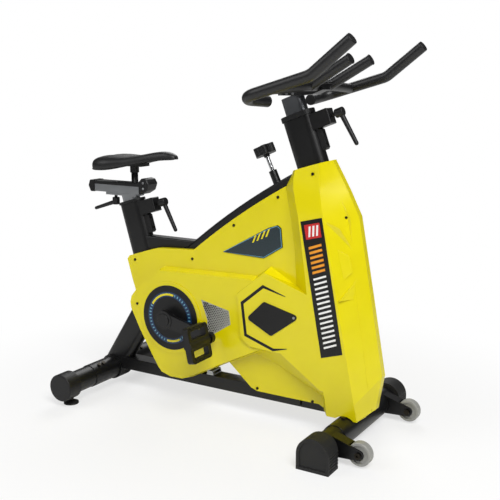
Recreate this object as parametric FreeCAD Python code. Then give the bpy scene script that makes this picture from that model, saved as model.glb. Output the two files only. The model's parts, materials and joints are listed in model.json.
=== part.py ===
import FreeCAD, Part
import math
import os
from FreeCAD import Vector

# Indoor cycling bike, in millimetres.
# X runs forward from the middle of the bike's length, Y to the rider's left, Z up from the floor.
# Outlines of plates and covers are lists of (X, Z) points; everything is built on the right side
# (minus Y) and mirrored in the plane Y = 0 where the bike has a left-hand twin.

# Stabilisers and feet
stabiliser_span = 562.0
stabiliser_r = 35.0
stabiliser_wall = 3.0
sleeve_r = 37.0
sleeve_half_length = 145.0
front_tube_x = 424.5
front_tube_z = 48.0
rear_tube_x = -473.0
rear_tube_z = 64.0
front_cap_width = 97.0
front_cap_height = 95.0
front_cap_length = 60.0
rear_cap_r = 44.0
rear_cap_length = 56.0
foot_y = 232.0
foot_pad_r = 24.0
foot_pad_t = 9.0
foot_stud_r = 5.0
running_gap = 0.05
body_gap = 0.4

# Transport wheels
wheel_x = 520.5
wheel_y = 181.5
wheel_z = 39.0
wheel_r = 33.5
wheel_t = 24.0
wheel_side_gap = 1.0
cheek_t = 5.0
axle_bolt_r = 5.0

# Frame tubes: (X, Z) of each centre line's ends
tube_wall = 3.0
tube_half_width = 23.0
seat_tube_top = (-386.0, 634.0)
seat_tube_lean = 16.5
seat_tube_depth = 90.0
head_tube_top = (226.0, 919.0)
head_tube_lean = 20.0
head_tube_depth = 98.0
head_tube_length = 430.0
head_tube_half_width = 25.0
beam_half_width = 25.0
beam_height = 40.0
beam_z = 85.0
leg_angle = 57.2
leg_depth = 90.0
brace_height = 42.0
brace_half_width = 20.0
brace_z = 511.0
spine_top_points = ((-113.0, 545.0), (43.0, 658.0), (224.0, 766.0))
spine_depth = 60.0
spine_edge_r = 7.0
spine_overrun = 1.5
front_post_depth = 50.0
front_post_top = (393.0, 515.0)
front_post_foot_x = 412.0
leg_collar_r = 42.0
leg_collar_half = 30.0

# Sliding posts and their clamps
post_half_width = 17.0
seat_post_depth = 64.0
head_post_depth = 70.0
post_wall = 2.5
post_running_gap = 0.06
seat_post_top_z = 663.0
seat_post_length = 300.0
head_post_top_z = 980.0
head_post_length = 260.0
bush_rim = 4.0
seat_rim_height = 8.0
head_rim_height = 14.0
bush_depth = 60.0
clamp_depth = 52.0
clamp_height = 46.0
clamp_half_width = 19.0
clamp_drop = 26.0
stud_r = 5.0
stud_length = 26.0
lever_hub_r = 13.0
lever_hub_length = 26.0
lever_length = 98.0
lever_r = 6.0
lever_splay = 11.0
strip_t = 14.0
strip_half_width = 11.0
strip_length = 62.0

# Saddle and its sliding rail
rail_rear_x = -554.0
rail_front_x = -300.0
rail_half_width = 22.0
rail_bottom_z = 665.0
rail_height = 24.0
rail_strip_t = 11.0
rail_cap_t = 26.0
stem_x = -374.0
stem_r = 11.0
stem_top_z = 752.0
stem_clamp_r = 14.5
stem_clamp_z = 733.0
saddle_rear_x = -496.0
saddle_nose_x = -204.0
saddle_width = 178.0
rail_lever_x = -455.0

# Handlebar
bar_r = 16.0
bar_half_span = 247.0
bar_tip = (496.6, 1121.0)
bar_bend = (387.0, 1035.0)
bar_heel = (180.0, 976.0)
hook_end = (196.0, 130.0, 968.0)
bar_bend_r = 60.0
hook_bend_r = 46.0
prong_y_base = 60.0
prong_y_tip = 68.0
prong_base = (290.0, 1009.0)
prong_tip = (412.0, 1080.0)
cross_r = 14.0
cross_end = (272.0, 1001.0)
plate_half_width = 24.0

# Crankset
crank_x = -185.0
crank_z = 290.0
crank_length = 170.0
crank_rest_angle = -11.0
spindle_r = 12.5
bracket_r = 30.0
bracket_half_length = 38.0
arm_y = 105.0
arm_t = 16.0
arm_boss_r = 30.0
arm_end_r = 18.0
crank_disc_r = 104.0
crank_disc_t = 5.0
drive_pulley_r = 92.0
belt_y = 54.0
belt_width = 14.0
belt_t = 2.6
pedal_axle_r = 7.0
pedal_tilt = 78.0
pedal_length = 108.0
pedal_width = 102.0
pedal_t = 28.0

# Flywheel and brake
flywheel_x = 172.0
flywheel_z = 345.0
flywheel_r = 190.0
rim_width = 22.0
rim_depth = 38.0
web_t = 9.0
hub_r = 36.0
hub_half = 20.0
axle_r = 8.5
bearing_r = 20.0
stand_t = 6.0
stand_foot = 85.0
driven_pulley_r = 25.0
knob_centre = (114.0, 823.0)
knob_r = 34.0
knob_t = 26.0
rod_lean = 24.9
rod_r = 6.0
sleeve_top = 64.0
press_travel = 8.0
shoe_travel = 6.0
shoe_rest_gap = 0.5
shoe_clearance = press_travel + shoe_travel + shoe_rest_gap
shoe_face_gap = 0.5
shoe_t = 16.0

# Covers
wall = 3.0
seam = 0.3
flange_y = 40.0
plateau_y = 74.0
side_y = 80.0
draft = 6.0
cover_reveal = 26.0
cover_tube_gap = 1.5
bead_r = 117.0
bead_height = 3.0
nose_half = 11.0

# Points of the right cover's rim, clockwise from its rear top corner round to the spine
rim_rear_top = [(-381, 453), (-372, 465), (-278, 495), (-253, 501), (-117, 509)]
rim_bottom = [(340, 84), (323, 92), (111, 92), (91, 100), (8, 171)]
belly = [(-124, 102), (-143, 95), (-191, 94), (-225, 104), (-239, 120), (-265, 161), (-310, 236),
         (-343, 300), (-346, 320), (-341, 340)]
rim_rear = [(-353, 362), (-362, 388)]
plateau_top = [(-322, 363), (-261, 414), (-228, 438), (103, 447), (165, 440), (165, 250), (124, 229),
               (26, 180)]
hexagon_side = [(159, 475), (66, 400), (78, 266), (112, 244), (215, 240), (346, 150), (380, 150),
                (380, 420), (300, 427)]
hexagon_foot = [(159, 488), (48, 406), (62, 256), (101, 212), (190, 186), (338, 118), (385, 118),
                (385, 420), (246, 440)]
# Front shell: height, rear edge at the flange, rear edge at the side, front edge of the side, nose
shell_levels = [(70, 341, 369, 463, 465), (80, 340, 368, 462, 470), (100, 338, 365, 458, 491),
                (126, 335, 362, 452, 494), (200, 322, 340, 437, 507), (427, 246, 300, 391, 466),
                (555, 237, 282, 366, 442), (652, 221, 268, 346, 424), (723, 207, 245, 328, 388),
                (760, 226, 242, 323, 367), (803, 240, 249, 318, 342), (840, 250, 252, 304, 326)]
# Above the label the sides close in towards the head tube
shoulder_z = 652.0
shoulder_taper = 0.199
shell_top_line = ((200.0, 764.0), (360.0, 812.0))
diamond = [(100, 331), (159, 389), (280, 359), (184, 288)]
diamond_corner_r = 9.0
diamond_inset = 12.0
diamond_t = 2.5
label_outline = [(277, 636), (343, 652), (414, 269), (348, 249)]
label_t = 0.8
badge_outline = [(-8, 514), (150, 601), (182, 612), (194, 604), (199, 548), (136, 509)]
badge_t = 2.0
vent_outline = [(-68, 364), (33, 342), (39, 300), (-20, 262), (-50, 258), (-45, 300)]
vent_t = 1.2
flange_screws = [(-349, 454), (-122, 480), (31, 599), (182, 694), (114, 101), (303, 96)]
side_screws = [(302, 769)]
side_screw_lift = 1.0
screw_r = 4.2
screw_head = 2.2

os.makedirs("parts", exist_ok=True)


def export(name, *shapes):
    """Write one node, joining several separate solids into a group."""
    solids = [solid for shape in shapes for solid in shape.Solids]
    result = solids[0] if len(solids) == 1 else Part.makeCompound(solids)
    result.exportStep("parts/" + name + ".step")
    print(name, len(solids), round(sum(solid.Volume for solid in solids)))


def mirrored(shape):
    return shape.mirror(Vector(0, 0, 0), Vector(0, 1, 0))


def both_sides(shape):
    return [shape, mirrored(shape)]


def export_pair(name, right):
    export(name + "_right", right)
    export(name + "_left", mirrored(right))


def cylinder_y(x, z, r, y0, y1):
    return Part.makeCylinder(r, y1 - y0, Vector(x, y0, z), Vector(0, 1, 0))


def rod(start, end, r):
    along = end.sub(start)
    return Part.makeCylinder(r, along.Length, start, along)


def prism(points, y0, y1):
    corners = [Vector(x, y0, z) for x, z in points]
    face = Part.Face(Part.makePolygon(corners + corners[:1]))
    return face.extrude(Vector(0, y1 - y0, 0))


def block(x0, x1, y0, y1, z0, z1):
    return Part.makeBox(x1 - x0, y1 - y0, z1 - z0, Vector(x0, y0, z0))


def fillet_long(shape, direction, r):
    """Round the straight edges that run along a direction."""
    edges = [edge for edge in shape.Edges
             if isinstance(edge.Curve, Part.Line) and abs(edge.tangentAt(edge.FirstParameter).dot(direction)) > 0.999]
    return shape.makeFillet(r, edges)


def signed_area(points):
    return 0.5 * sum(a[0] * b[1] - b[0] * a[1] for a, b in zip(points, points[1:] + points[:1]))


def offset(points, distance):
    """Move a closed outline outward by a distance, with mitred corners."""
    turn = 1.0 if signed_area(points) > 0 else -1.0
    moved = []
    for before, here, after in zip(points[-1:] + points[:-1], points, points[1:] + points[:1]):
        normals = []
        for a, b in ((before, here), (here, after)):
            length = math.dist(a, b)
            normals.append((turn * (b[1] - a[1]) / length, turn * (a[0] - b[0]) / length))
        nx = normals[0][0] + normals[1][0]
        nz = normals[0][1] + normals[1][1]
        scale = distance / (1 + normals[0][0] * normals[1][0] + normals[0][1] * normals[1][1])
        moved.append((here[0] + nx * scale, here[1] + nz * scale))
    return moved


def arc_points(centre, r, start, end, count):
    """Points on an arc, with angles in degrees from +X towards +Z."""
    angles = [math.radians(start + (end - start) * i / (count - 1)) for i in range(count)]
    return [(centre[0] + r * math.cos(a), centre[1] + r * math.sin(a)) for a in angles]


def rounded(points, r, count=5):
    """Outline with each corner turned into an arc of radius r, given as points."""
    outline = []
    for before, here, after in zip(points[-1:] + points[:-1], points, points[1:] + points[:1]):
        a = (before[0] - here[0], before[1] - here[1])
        b = (after[0] - here[0], after[1] - here[1])
        la, lb = math.hypot(*a), math.hypot(*b)
        ua, ub = (a[0] / la, a[1] / la), (b[0] / lb, b[1] / lb)
        half = math.acos(ua[0] * ub[0] + ua[1] * ub[1]) / 2
        reach = min(r / math.tan(half), 0.45 * la, 0.45 * lb)
        radius = reach * math.tan(half)
        bx, bz = ua[0] + ub[0], ua[1] + ub[1]
        size = math.hypot(bx, bz)
        deep = radius / math.sin(half)
        centre = (here[0] + bx / size * deep, here[1] + bz / size * deep)
        start = math.atan2(here[1] + ua[1] * reach - centre[1], here[0] + ua[0] * reach - centre[0])
        end = math.atan2(here[1] + ub[1] * reach - centre[1], here[0] + ub[0] * reach - centre[0])
        sweep = (end - start + math.pi) % (2 * math.pi) - math.pi
        for i in range(count):
            angle = start + sweep * i / (count - 1)
            outline.append((centre[0] + radius * math.cos(angle), centre[1] + radius * math.sin(angle)))
    return outline


def circle_through(p, q, s):
    ax, az, bx, bz, cx, cz = p[0], p[1], q[0], q[1], s[0], s[1]
    d = 2 * (ax * (bz - cz) + bx * (cz - az) + cx * (az - bz))
    pa, pb, pc = ax * ax + az * az, bx * bx + bz * bz, cx * cx + cz * cz
    ux = (pa * (bz - cz) + pb * (cz - az) + pc * (az - bz)) / d
    uz = (pa * (cx - bx) + pb * (ax - cx) + pc * (bx - ax)) / d
    return (ux, uz), math.dist((ux, uz), p)


def faceted(rings):
    """A solid with flat triangular facets through rings of 3-D points, each with as many points."""
    faces = []
    count = len(rings[0])
    for low, high in zip(rings, rings[1:]):
        for i in range(count):
            a, b, c, d = low[i], low[(i + 1) % count], high[(i + 1) % count], high[i]
            flat = abs((b - a).cross(c - a).normalize().dot(d - a)) < 1e-6
            for corners in ([(a, b, c, d)] if flat else [(a, b, c), (a, c, d)]):
                faces.append(Part.Face(Part.makePolygon(list(corners) + [corners[0]])))
    for ring in (rings[0], rings[-1]):
        faces.append(Part.Face(Part.makePolygon(ring + ring[:1])))
    solid = Part.Solid(Part.makeShell(faces))
    if solid.Volume < 0:
        solid.reverse()
    return solid


def pad(foot, y_foot, top, y_top):
    """A raised pad on the right side, from its foot outline out to its top outline."""
    return faceted([[Vector(x, -y_foot, z) for x, z in foot], [Vector(x, -y_top, z) for x, z in top]])


def direction(lean):
    """Unit vector up a tube that leans back by an angle in degrees."""
    return Vector(-math.sin(math.radians(lean)), 0, math.cos(math.radians(lean)))


def oval_bar(top, lean, length, depth, half_width):
    """Solid bar with round front and rear, its section depth in the plane Y = 0."""
    r = half_width
    flat = depth - 2 * r
    up = direction(lean)
    ahead = Vector(up.z, 0, -up.x)
    base = Vector(top[0], 0, top[1]).sub(up * length)
    side = Vector(0, r, 0)
    front, rear = base + ahead * (flat / 2), base - ahead * (flat / 2)
    edges = [Part.LineSegment(rear - side, front - side).toShape(),
             Part.Arc(front - side, front + ahead * r, front + side).toShape(),
             Part.LineSegment(front + side, rear + side).toShape(),
             Part.Arc(rear + side, rear - ahead * r, rear - side).toShape()]
    return Part.Face(Part.Wire(edges)).extrude(up * length)


def on_axis(top, lean, z):
    """Point of a leaning centre line at a height."""
    return (top[0] + (top[1] - z) * math.tan(math.radians(lean)), z)


def bent_path(points, radii):
    """Straight runs joined by tangent arcs."""
    edges = []
    start = points[0]
    for before, here, after, r in zip(points, points[1:], points[2:], radii):
        u = (before - here).normalize()
        v = (after - here).normalize()
        half = math.acos(max(-1.0, min(1.0, u.dot(v)))) / 2
        reach = r / math.tan(half)
        first, last = here + u * reach, here + v * reach
        bisector = (u + v).normalize()
        middle = here + bisector * (r / math.sin(half) - r)
        edges.append(Part.LineSegment(start, first).toShape())
        edges.append(Part.Arc(first, middle, last).toShape())
        start = last
    edges.append(Part.LineSegment(start, points[-1]).toShape())
    return Part.Wire(edges)


def bent_bar(points, radii, r):
    path = bent_path(points, radii)
    circle = Part.Wire(Part.makeCircle(r, points[0], points[1].sub(points[0])))
    solid = path.makePipeShell([circle], True, True)
    return solid


# ---------------------------------------------------------------- shared places
seat_up = direction(seat_tube_lean)
seat_ahead = Vector(seat_up.z, 0, -seat_up.x)
head_up = direction(head_tube_lean)
head_ahead = Vector(head_up.z, 0, -head_up.x)
rod_up = direction(rod_lean)
arm_angle = math.radians(crank_rest_angle)
pedal_x = crank_x + crank_length * math.cos(arm_angle)
pedal_z = crank_z + crank_length * math.sin(arm_angle)
cap_front_y = stabiliser_span / 2
spine_centre, spine_outer_r = circle_through(*spine_top_points)
beam_top = beam_z + beam_height / 2
beam_bottom = beam_z - beam_height / 2
strip_start = clamp_drop + clamp_height / 2


# ---------------------------------------------------------------- solid bars of the frame
def beam_bar():
    return block(rear_tube_x, front_tube_x, -beam_half_width, beam_half_width, beam_bottom, beam_top)


def seat_bar(grow=0.0):
    length = (seat_tube_top[1] - beam_top) / seat_up.z + 30
    return oval_bar(seat_tube_top, seat_tube_lean, length, seat_tube_depth + 2 * grow,
                    tube_half_width + grow)


def head_bar(grow=0.0, extra=0.0):
    return oval_bar(head_tube_top, head_tube_lean, head_tube_length + extra,
                    head_tube_depth + 2 * grow, head_tube_half_width + grow)


def leg_bar(grow=0.0):
    """Rear leg, from the rear stabiliser's centre up to the seat tube's centre line."""
    lean = leg_angle - 90.0
    rise = 300.0
    up = direction(lean)
    top = (rear_tube_x - 3 + up.x * rise / up.z, rear_tube_z + rise)
    return oval_bar(top, lean, rise / up.z, leg_depth + 2 * grow, tube_half_width + grow)


def spine_outline(outer_cut, depth):
    """Side outline of the curved spine, from the crank housing up to the head tube."""
    outer = spine_outer_r - outer_cut
    angles = [math.degrees(math.atan2(z - spine_centre[1], x - spine_centre[0]))
              for x, z in (spine_top_points[0], spine_top_points[2])]
    reach = angles[1] - spine_overrun
    top = arc_points(spine_centre, outer, angles[0], reach, 11)
    under = arc_points(spine_centre, outer - depth, reach, angles[0], 11)
    first = math.radians(angles[0])
    back = (-math.sin(first), math.cos(first))
    run = 265.0
    tail = [(p[0] + back[0] * run, p[1] + back[1] * run) for p in (under[-1], top[0])]
    return top + under + tail


def spine_bar(grow=0.0):
    points = spine_outline(-grow, spine_depth + 2 * grow)
    half = tube_half_width + grow
    return prism(points, -half, half)


def brace_bar(grow=0.0):
    half = brace_height / 2 + grow
    x0 = on_axis(seat_tube_top, seat_tube_lean, brace_z)[0]
    width = brace_half_width + grow
    return block(x0, -90.0, -width, width, brace_z - half, brace_z + half)


def post_bar(grow=0.0):
    half = front_post_depth / 2 + grow
    top_x, top_z = front_post_top
    points = [(front_post_foot_x - half, beam_top), (front_post_foot_x + half, beam_top),
              (top_x + half, top_z), (top_x - half, top_z)]
    return prism(points, -tube_half_width - grow, tube_half_width + grow)


def stabiliser_bar(x, z, r, half_length):
    return cylinder_y(x, z, r, -half_length, half_length)


def frame_bars(grow):
    """Everything of the frame that the covers must clear."""
    bars = [seat_bar(grow), head_bar(grow), leg_bar(grow), spine_bar(grow), brace_bar(grow),
            post_bar(grow)]
    half = beam_half_width + grow
    bars.append(block(rear_tube_x, front_tube_x + 60, -half, half, beam_bottom - grow, beam_top + grow))
    bars.append(stabiliser_bar(front_tube_x, front_tube_z, sleeve_r + grow + 2, sleeve_half_length))
    return bars


# ---------------------------------------------------------------- feet and stabilisers
def front_cap():
    """Rubber foot with an arched top, a framed outer face and ribs on its sides."""
    half = front_cap_width / 2
    spring = front_cap_height - half
    arch = arc_points((front_tube_x, spring), half, 0, 180, 25)
    outline = [(front_tube_x - half, 0.0), (front_tube_x + half, 0.0)] + arch
    inner = cap_front_y - front_cap_length
    cap = prism(outline, -cap_front_y, -inner)
    recess = prism(offset(outline, -9.0), -cap_front_y, -cap_front_y + 3)
    cap = cap.cut(recess)
    for i in range(6):
        z = 9.0 + 9.0 * i
        for side in (-1, 1):
            x = front_tube_x + side * half
            groove = block(x - 1.6, x + 1.6, -cap_front_y + 6, -inner + 1, z, z + 3.2)
            cap = cap.cut(groove)
    bore = cylinder_y(front_tube_x, front_tube_z, stabiliser_r, -cap_front_y + 12, -inner + 1)
    return cap.cut(bore)


def rear_cap():
    """Round end cap with a chamfered rim and a seat for the levelling foot."""
    inner = cap_front_y - rear_cap_length
    cap = cylinder_y(rear_tube_x, rear_tube_z, rear_cap_r, -cap_front_y, -inner)
    rims = [edge for edge in cap.Edges if isinstance(edge.Curve, Part.Circle)]
    outer = [edge for edge in rims if edge.BoundBox.YMin < -cap_front_y + 1]
    cap = cap.makeFillet(4.0, outer)
    cap = cap.makeChamfer(4.0, [edge for edge in cap.Edges if isinstance(edge.Curve, Part.Circle)
                                and edge.BoundBox.YMin > -inner - 1])
    bore = cylinder_y(rear_tube_x, rear_tube_z, stabiliser_r, -cap_front_y + 12, -inner + 1)
    return cap.cut(bore).cut(foot_hole())


def foot_hole():
    return Part.makeCylinder(foot_stud_r + running_gap, rear_tube_z, Vector(rear_tube_x, -foot_y, 0),
                             Vector(0, 0, 1))


def levelling_foot():
    """Painted steel base on a threaded stud; it screws down out of the end cap."""
    base = Vector(rear_tube_x, -foot_y, 0)
    pad_part = Part.makeCylinder(foot_pad_r, foot_pad_t * 0.55, base)
    cone = Part.makeCone(foot_pad_r, foot_pad_r * 0.55, foot_pad_t * 0.45,
                         base + Vector(0, 0, foot_pad_t * 0.55))
    stud = Part.makeCylinder(foot_stud_r, rear_tube_z - 8 - foot_pad_t, base + Vector(0, 0, foot_pad_t))
    return pad_part.fuse(cone).fuse(stud).removeSplitter()


def foot_nut():
    """Hexagon lock nut that stays against the end cap's underside."""
    z1 = rear_tube_z - rear_cap_r
    points = [Vector(rear_tube_x + 9 * math.cos(i * math.pi / 3), -foot_y + 9 * math.sin(i * math.pi / 3),
                     z1 - 5.5) for i in range(6)]
    nut = Part.Face(Part.makePolygon(points + points[:1])).extrude(Vector(0, 0, 6.5))
    seat = cylinder_y(rear_tube_x, rear_tube_z, rear_cap_r, -cap_front_y, -cap_front_y + rear_cap_length)
    return nut.cut(seat).cut(foot_hole())


def stabiliser(x, z):
    """Round tube across the bike, closed by the end caps."""
    half = cap_front_y - 12
    tube = stabiliser_bar(x, z, stabiliser_r, half)
    return tube.cut(stabiliser_bar(x, z, stabiliser_r - stabiliser_wall, half + 1))


def sleeve(x, z):
    """Outer sleeve that the frame is bolted to."""
    outer = stabiliser_bar(x, z, sleeve_r, sleeve_half_length)
    return outer.cut(stabiliser_bar(x, z, stabiliser_r, sleeve_half_length + 1))


def leg_collar():
    collar = stabiliser_bar(rear_tube_x, rear_tube_z, leg_collar_r, leg_collar_half)
    return collar.cut(stabiliser_bar(rear_tube_x, rear_tube_z, sleeve_r, leg_collar_half + 1))


def stabiliser_bolts():
    """Domed bolts that hold each stabiliser in its sleeve."""
    bolts = []
    for x, z, y, tilt in ((front_tube_x, front_tube_z, 88.0, 0.0), (rear_tube_x, rear_tube_z, 92.0, 28.0),
                          (rear_tube_x, rear_tube_z, 112.0, 28.0)):
        out = Vector(math.sin(math.radians(tilt)), 0, math.cos(math.radians(tilt)))
        for side in (-1, 1):
            foot = Vector(x, side * y, z) + out * (sleeve_r - 0.5)
            head = Part.makeCylinder(6.5, 5.0, foot, out)
            bolts.append(head.cut(stabiliser_bar(x, z, sleeve_r, sleeve_half_length)))
    return bolts


def wheel_bracket():
    """Fork of two cheeks, welded to the front stabiliser, that carries a transport wheel."""
    half = wheel_t / 2 + wheel_side_gap + cheek_t
    boss = arc_points((wheel_x, wheel_z), 15.0, -80, 62, 12)
    outline = [(front_tube_x + 14, front_tube_z - 28)] + boss + [(front_tube_x + 16, front_tube_z + 31)]
    bracket = prism(outline, -wheel_y - half, -wheel_y + half)
    slot_half = wheel_t / 2 + wheel_side_gap
    slot = cylinder_y(wheel_x, wheel_z, wheel_r + 4, -wheel_y - slot_half, -wheel_y + slot_half)
    slot = slot.fuse(block(wheel_x, wheel_x + 60, -wheel_y - slot_half, -wheel_y + slot_half, 0, 90))
    tube = stabiliser_bar(front_tube_x, front_tube_z, stabiliser_r, cap_front_y)
    bore = cylinder_y(wheel_x, wheel_z, axle_bolt_r, -wheel_y - half - 1, -wheel_y + half + 1)
    return bracket.cut(slot).cut(tube).cut(bore)


def wheel():
    tread = cylinder_y(wheel_x, wheel_z, wheel_r, -wheel_y - wheel_t / 2, -wheel_y + wheel_t / 2)
    tread = tread.makeFillet(3.0, [edge for edge in tread.Edges if isinstance(edge.Curve, Part.Circle)])
    for side in (-1, 1):
        face = -wheel_y + side * wheel_t / 2
        dish = cylinder_y(wheel_x, wheel_z, wheel_r - 8, min(face, face - side * 3), max(face, face - side * 3))
        hub = cylinder_y(wheel_x, wheel_z, 12.0, -wheel_y - wheel_t / 2, -wheel_y + wheel_t / 2)
        tread = tread.cut(dish.cut(hub))
    return tread.cut(cylinder_y(wheel_x, wheel_z, axle_bolt_r + running_gap, -wheel_y - 30, -wheel_y + 30))


def wheel_bolt():
    half = wheel_t / 2 + wheel_side_gap + cheek_t
    shank = cylinder_y(wheel_x, wheel_z, axle_bolt_r, -wheel_y - half, -wheel_y + half)
    head = cylinder_y(wheel_x, wheel_z, 9.0, -wheel_y - half - 5, -wheel_y - half)
    nut = cylinder_y(wheel_x, wheel_z, 8.5, -wheel_y + half, -wheel_y + half + 6)
    socket = cylinder_y(wheel_x, wheel_z, 4.0, -wheel_y - half - 5, -wheel_y - half - 2)
    return shank.fuse(head).fuse(nut).cut(socket)


# ---------------------------------------------------------------- frame
def inner_bar(shape, half_width, lean, top, length, depth):
    return shape.cut(oval_bar(top, lean, length, depth - 2 * tube_wall, half_width - tube_wall))


def seat_tube():
    length = (seat_tube_top[1] - beam_top) / seat_up.z + 30
    tube = inner_bar(seat_bar(), tube_half_width, seat_tube_lean,
                     (seat_tube_top[0] + seat_up.x, seat_tube_top[1] + seat_up.z), length - 20,
                     seat_tube_depth)
    return tube.cut(block(-500, 200, -60, 60, -50, beam_top))


def rear_leg():
    lean = leg_angle - 90.0
    up = direction(lean)
    top = (rear_tube_x - 3 + up.x * 300 / up.z, rear_tube_z + 300)
    leg = inner_bar(leg_bar(), tube_half_width, lean, top, 300 / up.z - 8, leg_depth)
    leg = leg.cut(seat_bar())
    leg = leg.cut(stabiliser_bar(rear_tube_x, rear_tube_z, leg_collar_r, leg_collar_half + 1))
    parts = sorted(leg.Solids, key=lambda solid: solid.Volume)
    return parts[-1]


def floor_beam():
    beam = beam_bar()
    hollow = block(rear_tube_x, front_tube_x - 6, tube_wall - beam_half_width, beam_half_width - tube_wall,
                   beam_bottom + tube_wall, beam_top - tube_wall)
    beam = beam.cut(hollow)
    beam = beam.cut(stabiliser_bar(rear_tube_x, rear_tube_z, leg_collar_r, leg_collar_half + 1))
    beam = beam.cut(leg_bar())
    beam = beam.cut(stabiliser_bar(front_tube_x, front_tube_z, sleeve_r, leg_collar_half + 1))
    return sorted(beam.Solids, key=lambda solid: solid.Volume)[-1]


def spine():
    """Curved box tube with rounded edges, from the seat tube up to the head tube."""
    bar = spine_bar()
    long_edges = [edge for edge in bar.Edges
                  if abs(edge.BoundBox.YMax - edge.BoundBox.YMin) < 0.01 and edge.Length < 400]
    long_edges = [edge for edge in long_edges if edge.Length > spine_depth + 1 or edge.Length < spine_depth - 1]
    bar = bar.makeFillet(spine_edge_r, long_edges)
    inner = prism(spine_outline(tube_wall, spine_depth - 2 * tube_wall), tube_wall - tube_half_width,
                  tube_half_width - tube_wall)
    tube = bar.cut(inner)
    for other in (seat_bar(), leg_bar(), head_bar(), brake_hole()):
        tube = tube.cut(other)
    return sorted(tube.Solids, key=lambda solid: solid.Volume)[-1]


def seat_brace():
    bar = fillet_long(brace_bar(), Vector(1, 0, 0), 6.0)
    inner = brace_bar(-tube_wall)
    tube = bar.cut(inner).cut(seat_bar()).cut(prism(spine_outline(0, spine_depth), -40, 40))
    return sorted(tube.Solids, key=lambda solid: solid.Volume)[-1]


def head_tube():
    bar = head_bar()
    low = head_tube_length - 12
    start = (head_tube_top[0] + head_up.x, head_tube_top[1] + head_up.z)
    return inner_bar(bar, head_tube_half_width, head_tube_lean, start, low, head_tube_depth)


def front_post():
    bar = post_bar().cut(post_bar(-tube_wall))
    return sorted(bar.cut(head_bar()).Solids, key=lambda solid: solid.Volume)[-1]


def crank_gussets():
    """Two plates that tie the crank's bearing shell to the seat tube and the spine."""
    points = [(crank_x, crank_z + 10), (-150, crank_z - 60), (-150, beam_top), (-205, beam_top),
              (crank_x - 130, crank_z), (crank_x - 120, crank_z + 80)]
    plate = prism(points, -20, -13)
    plate = plate.cut(cylinder_y(crank_x, crank_z, bracket_r, -60, 60))
    for other in (seat_bar(), leg_bar(), spine_bar()):
        plate = plate.cut(other)
    plate = sorted(plate.Solids, key=lambda solid: solid.Volume)[-1]
    return both_sides(plate)


def bracket_shell():
    shell = cylinder_y(crank_x, crank_z, bracket_r, -bracket_half_length, bracket_half_length)
    return shell.cut(cylinder_y(crank_x, crank_z, 26.0, -60, 60))


def bracket_bearing():
    outer = cylinder_y(crank_x, crank_z, 26.0, -bracket_half_length, -bracket_half_length + 14)
    return outer.cut(cylinder_y(crank_x, crank_z, spindle_r + running_gap, -60, 0))


def stand_outline():
    top = arc_points((flywheel_x, flywheel_z), bearing_r + 14, 8, 172, 13)
    points = [(flywheel_x + stand_foot, beam_top), (flywheel_x + stand_foot, beam_bottom + 6),
              (flywheel_x - stand_foot, beam_bottom + 6), (flywheel_x - stand_foot, beam_top)]
    return points + top[::-1]


def flywheel_stand():
    """Upright plate on one side of the floor beam that carries the flywheel's bearing."""
    plate = prism(stand_outline(), -beam_half_width - stand_t, -beam_half_width)
    return plate.cut(cylinder_y(flywheel_x, flywheel_z, bearing_r, -60, 0))


def flywheel_bearing():
    outer = cylinder_y(flywheel_x, flywheel_z, bearing_r, -beam_half_width - stand_t - 2,
                       -beam_half_width + 2)
    return outer.cut(cylinder_y(flywheel_x, flywheel_z, axle_r + running_gap, -60, 0))


def cover_bracket():
    """Small zinc-plated saddle on the beam that the covers' belly is screwed to."""
    points = [(-84, beam_top), (-58, beam_top), (-62, beam_top + 14), (-80, beam_top + 14)]
    outer = prism(points, -24, 24)
    return outer.cut(block(-90, -50, -21, 21, beam_top + 3, beam_top + 11))


# ---------------------------------------------------------------- clamps, bushes and sliding posts
def bush(top, lean, depth, half_width, post_depth, rim_height):
    """Plastic guide in a tube's mouth, with a rim over the tube's end."""
    up = direction(lean)
    rim_top = (top[0] + up.x * rim_height, top[1] + up.z * rim_height)
    rim = oval_bar(rim_top, lean, rim_height, depth + 2 * bush_rim, half_width + bush_rim)
    body = oval_bar(top, lean, bush_depth, depth - 2 * tube_wall, half_width - tube_wall)
    hole = oval_bar((rim_top[0] + up.x, rim_top[1] + up.z), lean, bush_depth + 40,
                    post_depth + 2 * post_running_gap, post_half_width + post_running_gap)
    return rim.fuse(body).cut(hole)


def clamp_block(top, up, ahead, depth):
    """Block on the tube's front that holds the clamp screw."""
    face = Vector(top[0], 0, top[1]) + ahead * (depth / 2) - up * clamp_drop
    box = Part.makeBox(clamp_depth + 20, 2 * clamp_half_width, clamp_height,
                       Vector(-20, -clamp_half_width, -clamp_height / 2))
    box = box.makeFillet(5.0, [edge for edge in box.Edges if edge.BoundBox.XMin > clamp_depth - 1])
    turn = math.degrees(math.atan2(-ahead.z, ahead.x))
    box.rotate(Vector(0, 0, 0), Vector(0, 1, 0), turn)
    box.translate(face)
    return box


def clamp_screw_base(top, up, ahead, depth):
    return Vector(top[0], 0, top[1]) + ahead * (depth / 2 + clamp_depth) - up * clamp_drop


def lever(base, out, hang):
    """Chrome stud, hub and tapered arm; out is the stud's direction, hang the arm's."""
    stud = Part.makeCylinder(stud_r, stud_length, base + out * body_gap, out)
    hub_foot = base + out * (stud_length * 0.45)
    hub = Part.makeCylinder(lever_hub_r, lever_hub_length, hub_foot, out)
    hub = hub.makeFillet(3.0, [edge for edge in hub.Edges if isinstance(edge.Curve, Part.Circle)])
    start = hub_foot + out * (lever_hub_length * 0.6)
    end = start + hang * lever_length
    arm = Part.makeCone(lever_r + 1.5, lever_r, lever_length, start, hang)
    tip = Part.makeSphere(lever_r, end)
    return hub.fuse(arm).fuse(tip), stud.cut(hub)


def hanging(up, ahead):
    """Direction of a lever's arm at rest: down the tube's front, splayed away from it."""
    angle = math.radians(lever_splay)
    return (up * -math.cos(angle)) + (ahead * math.sin(angle))


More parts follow.
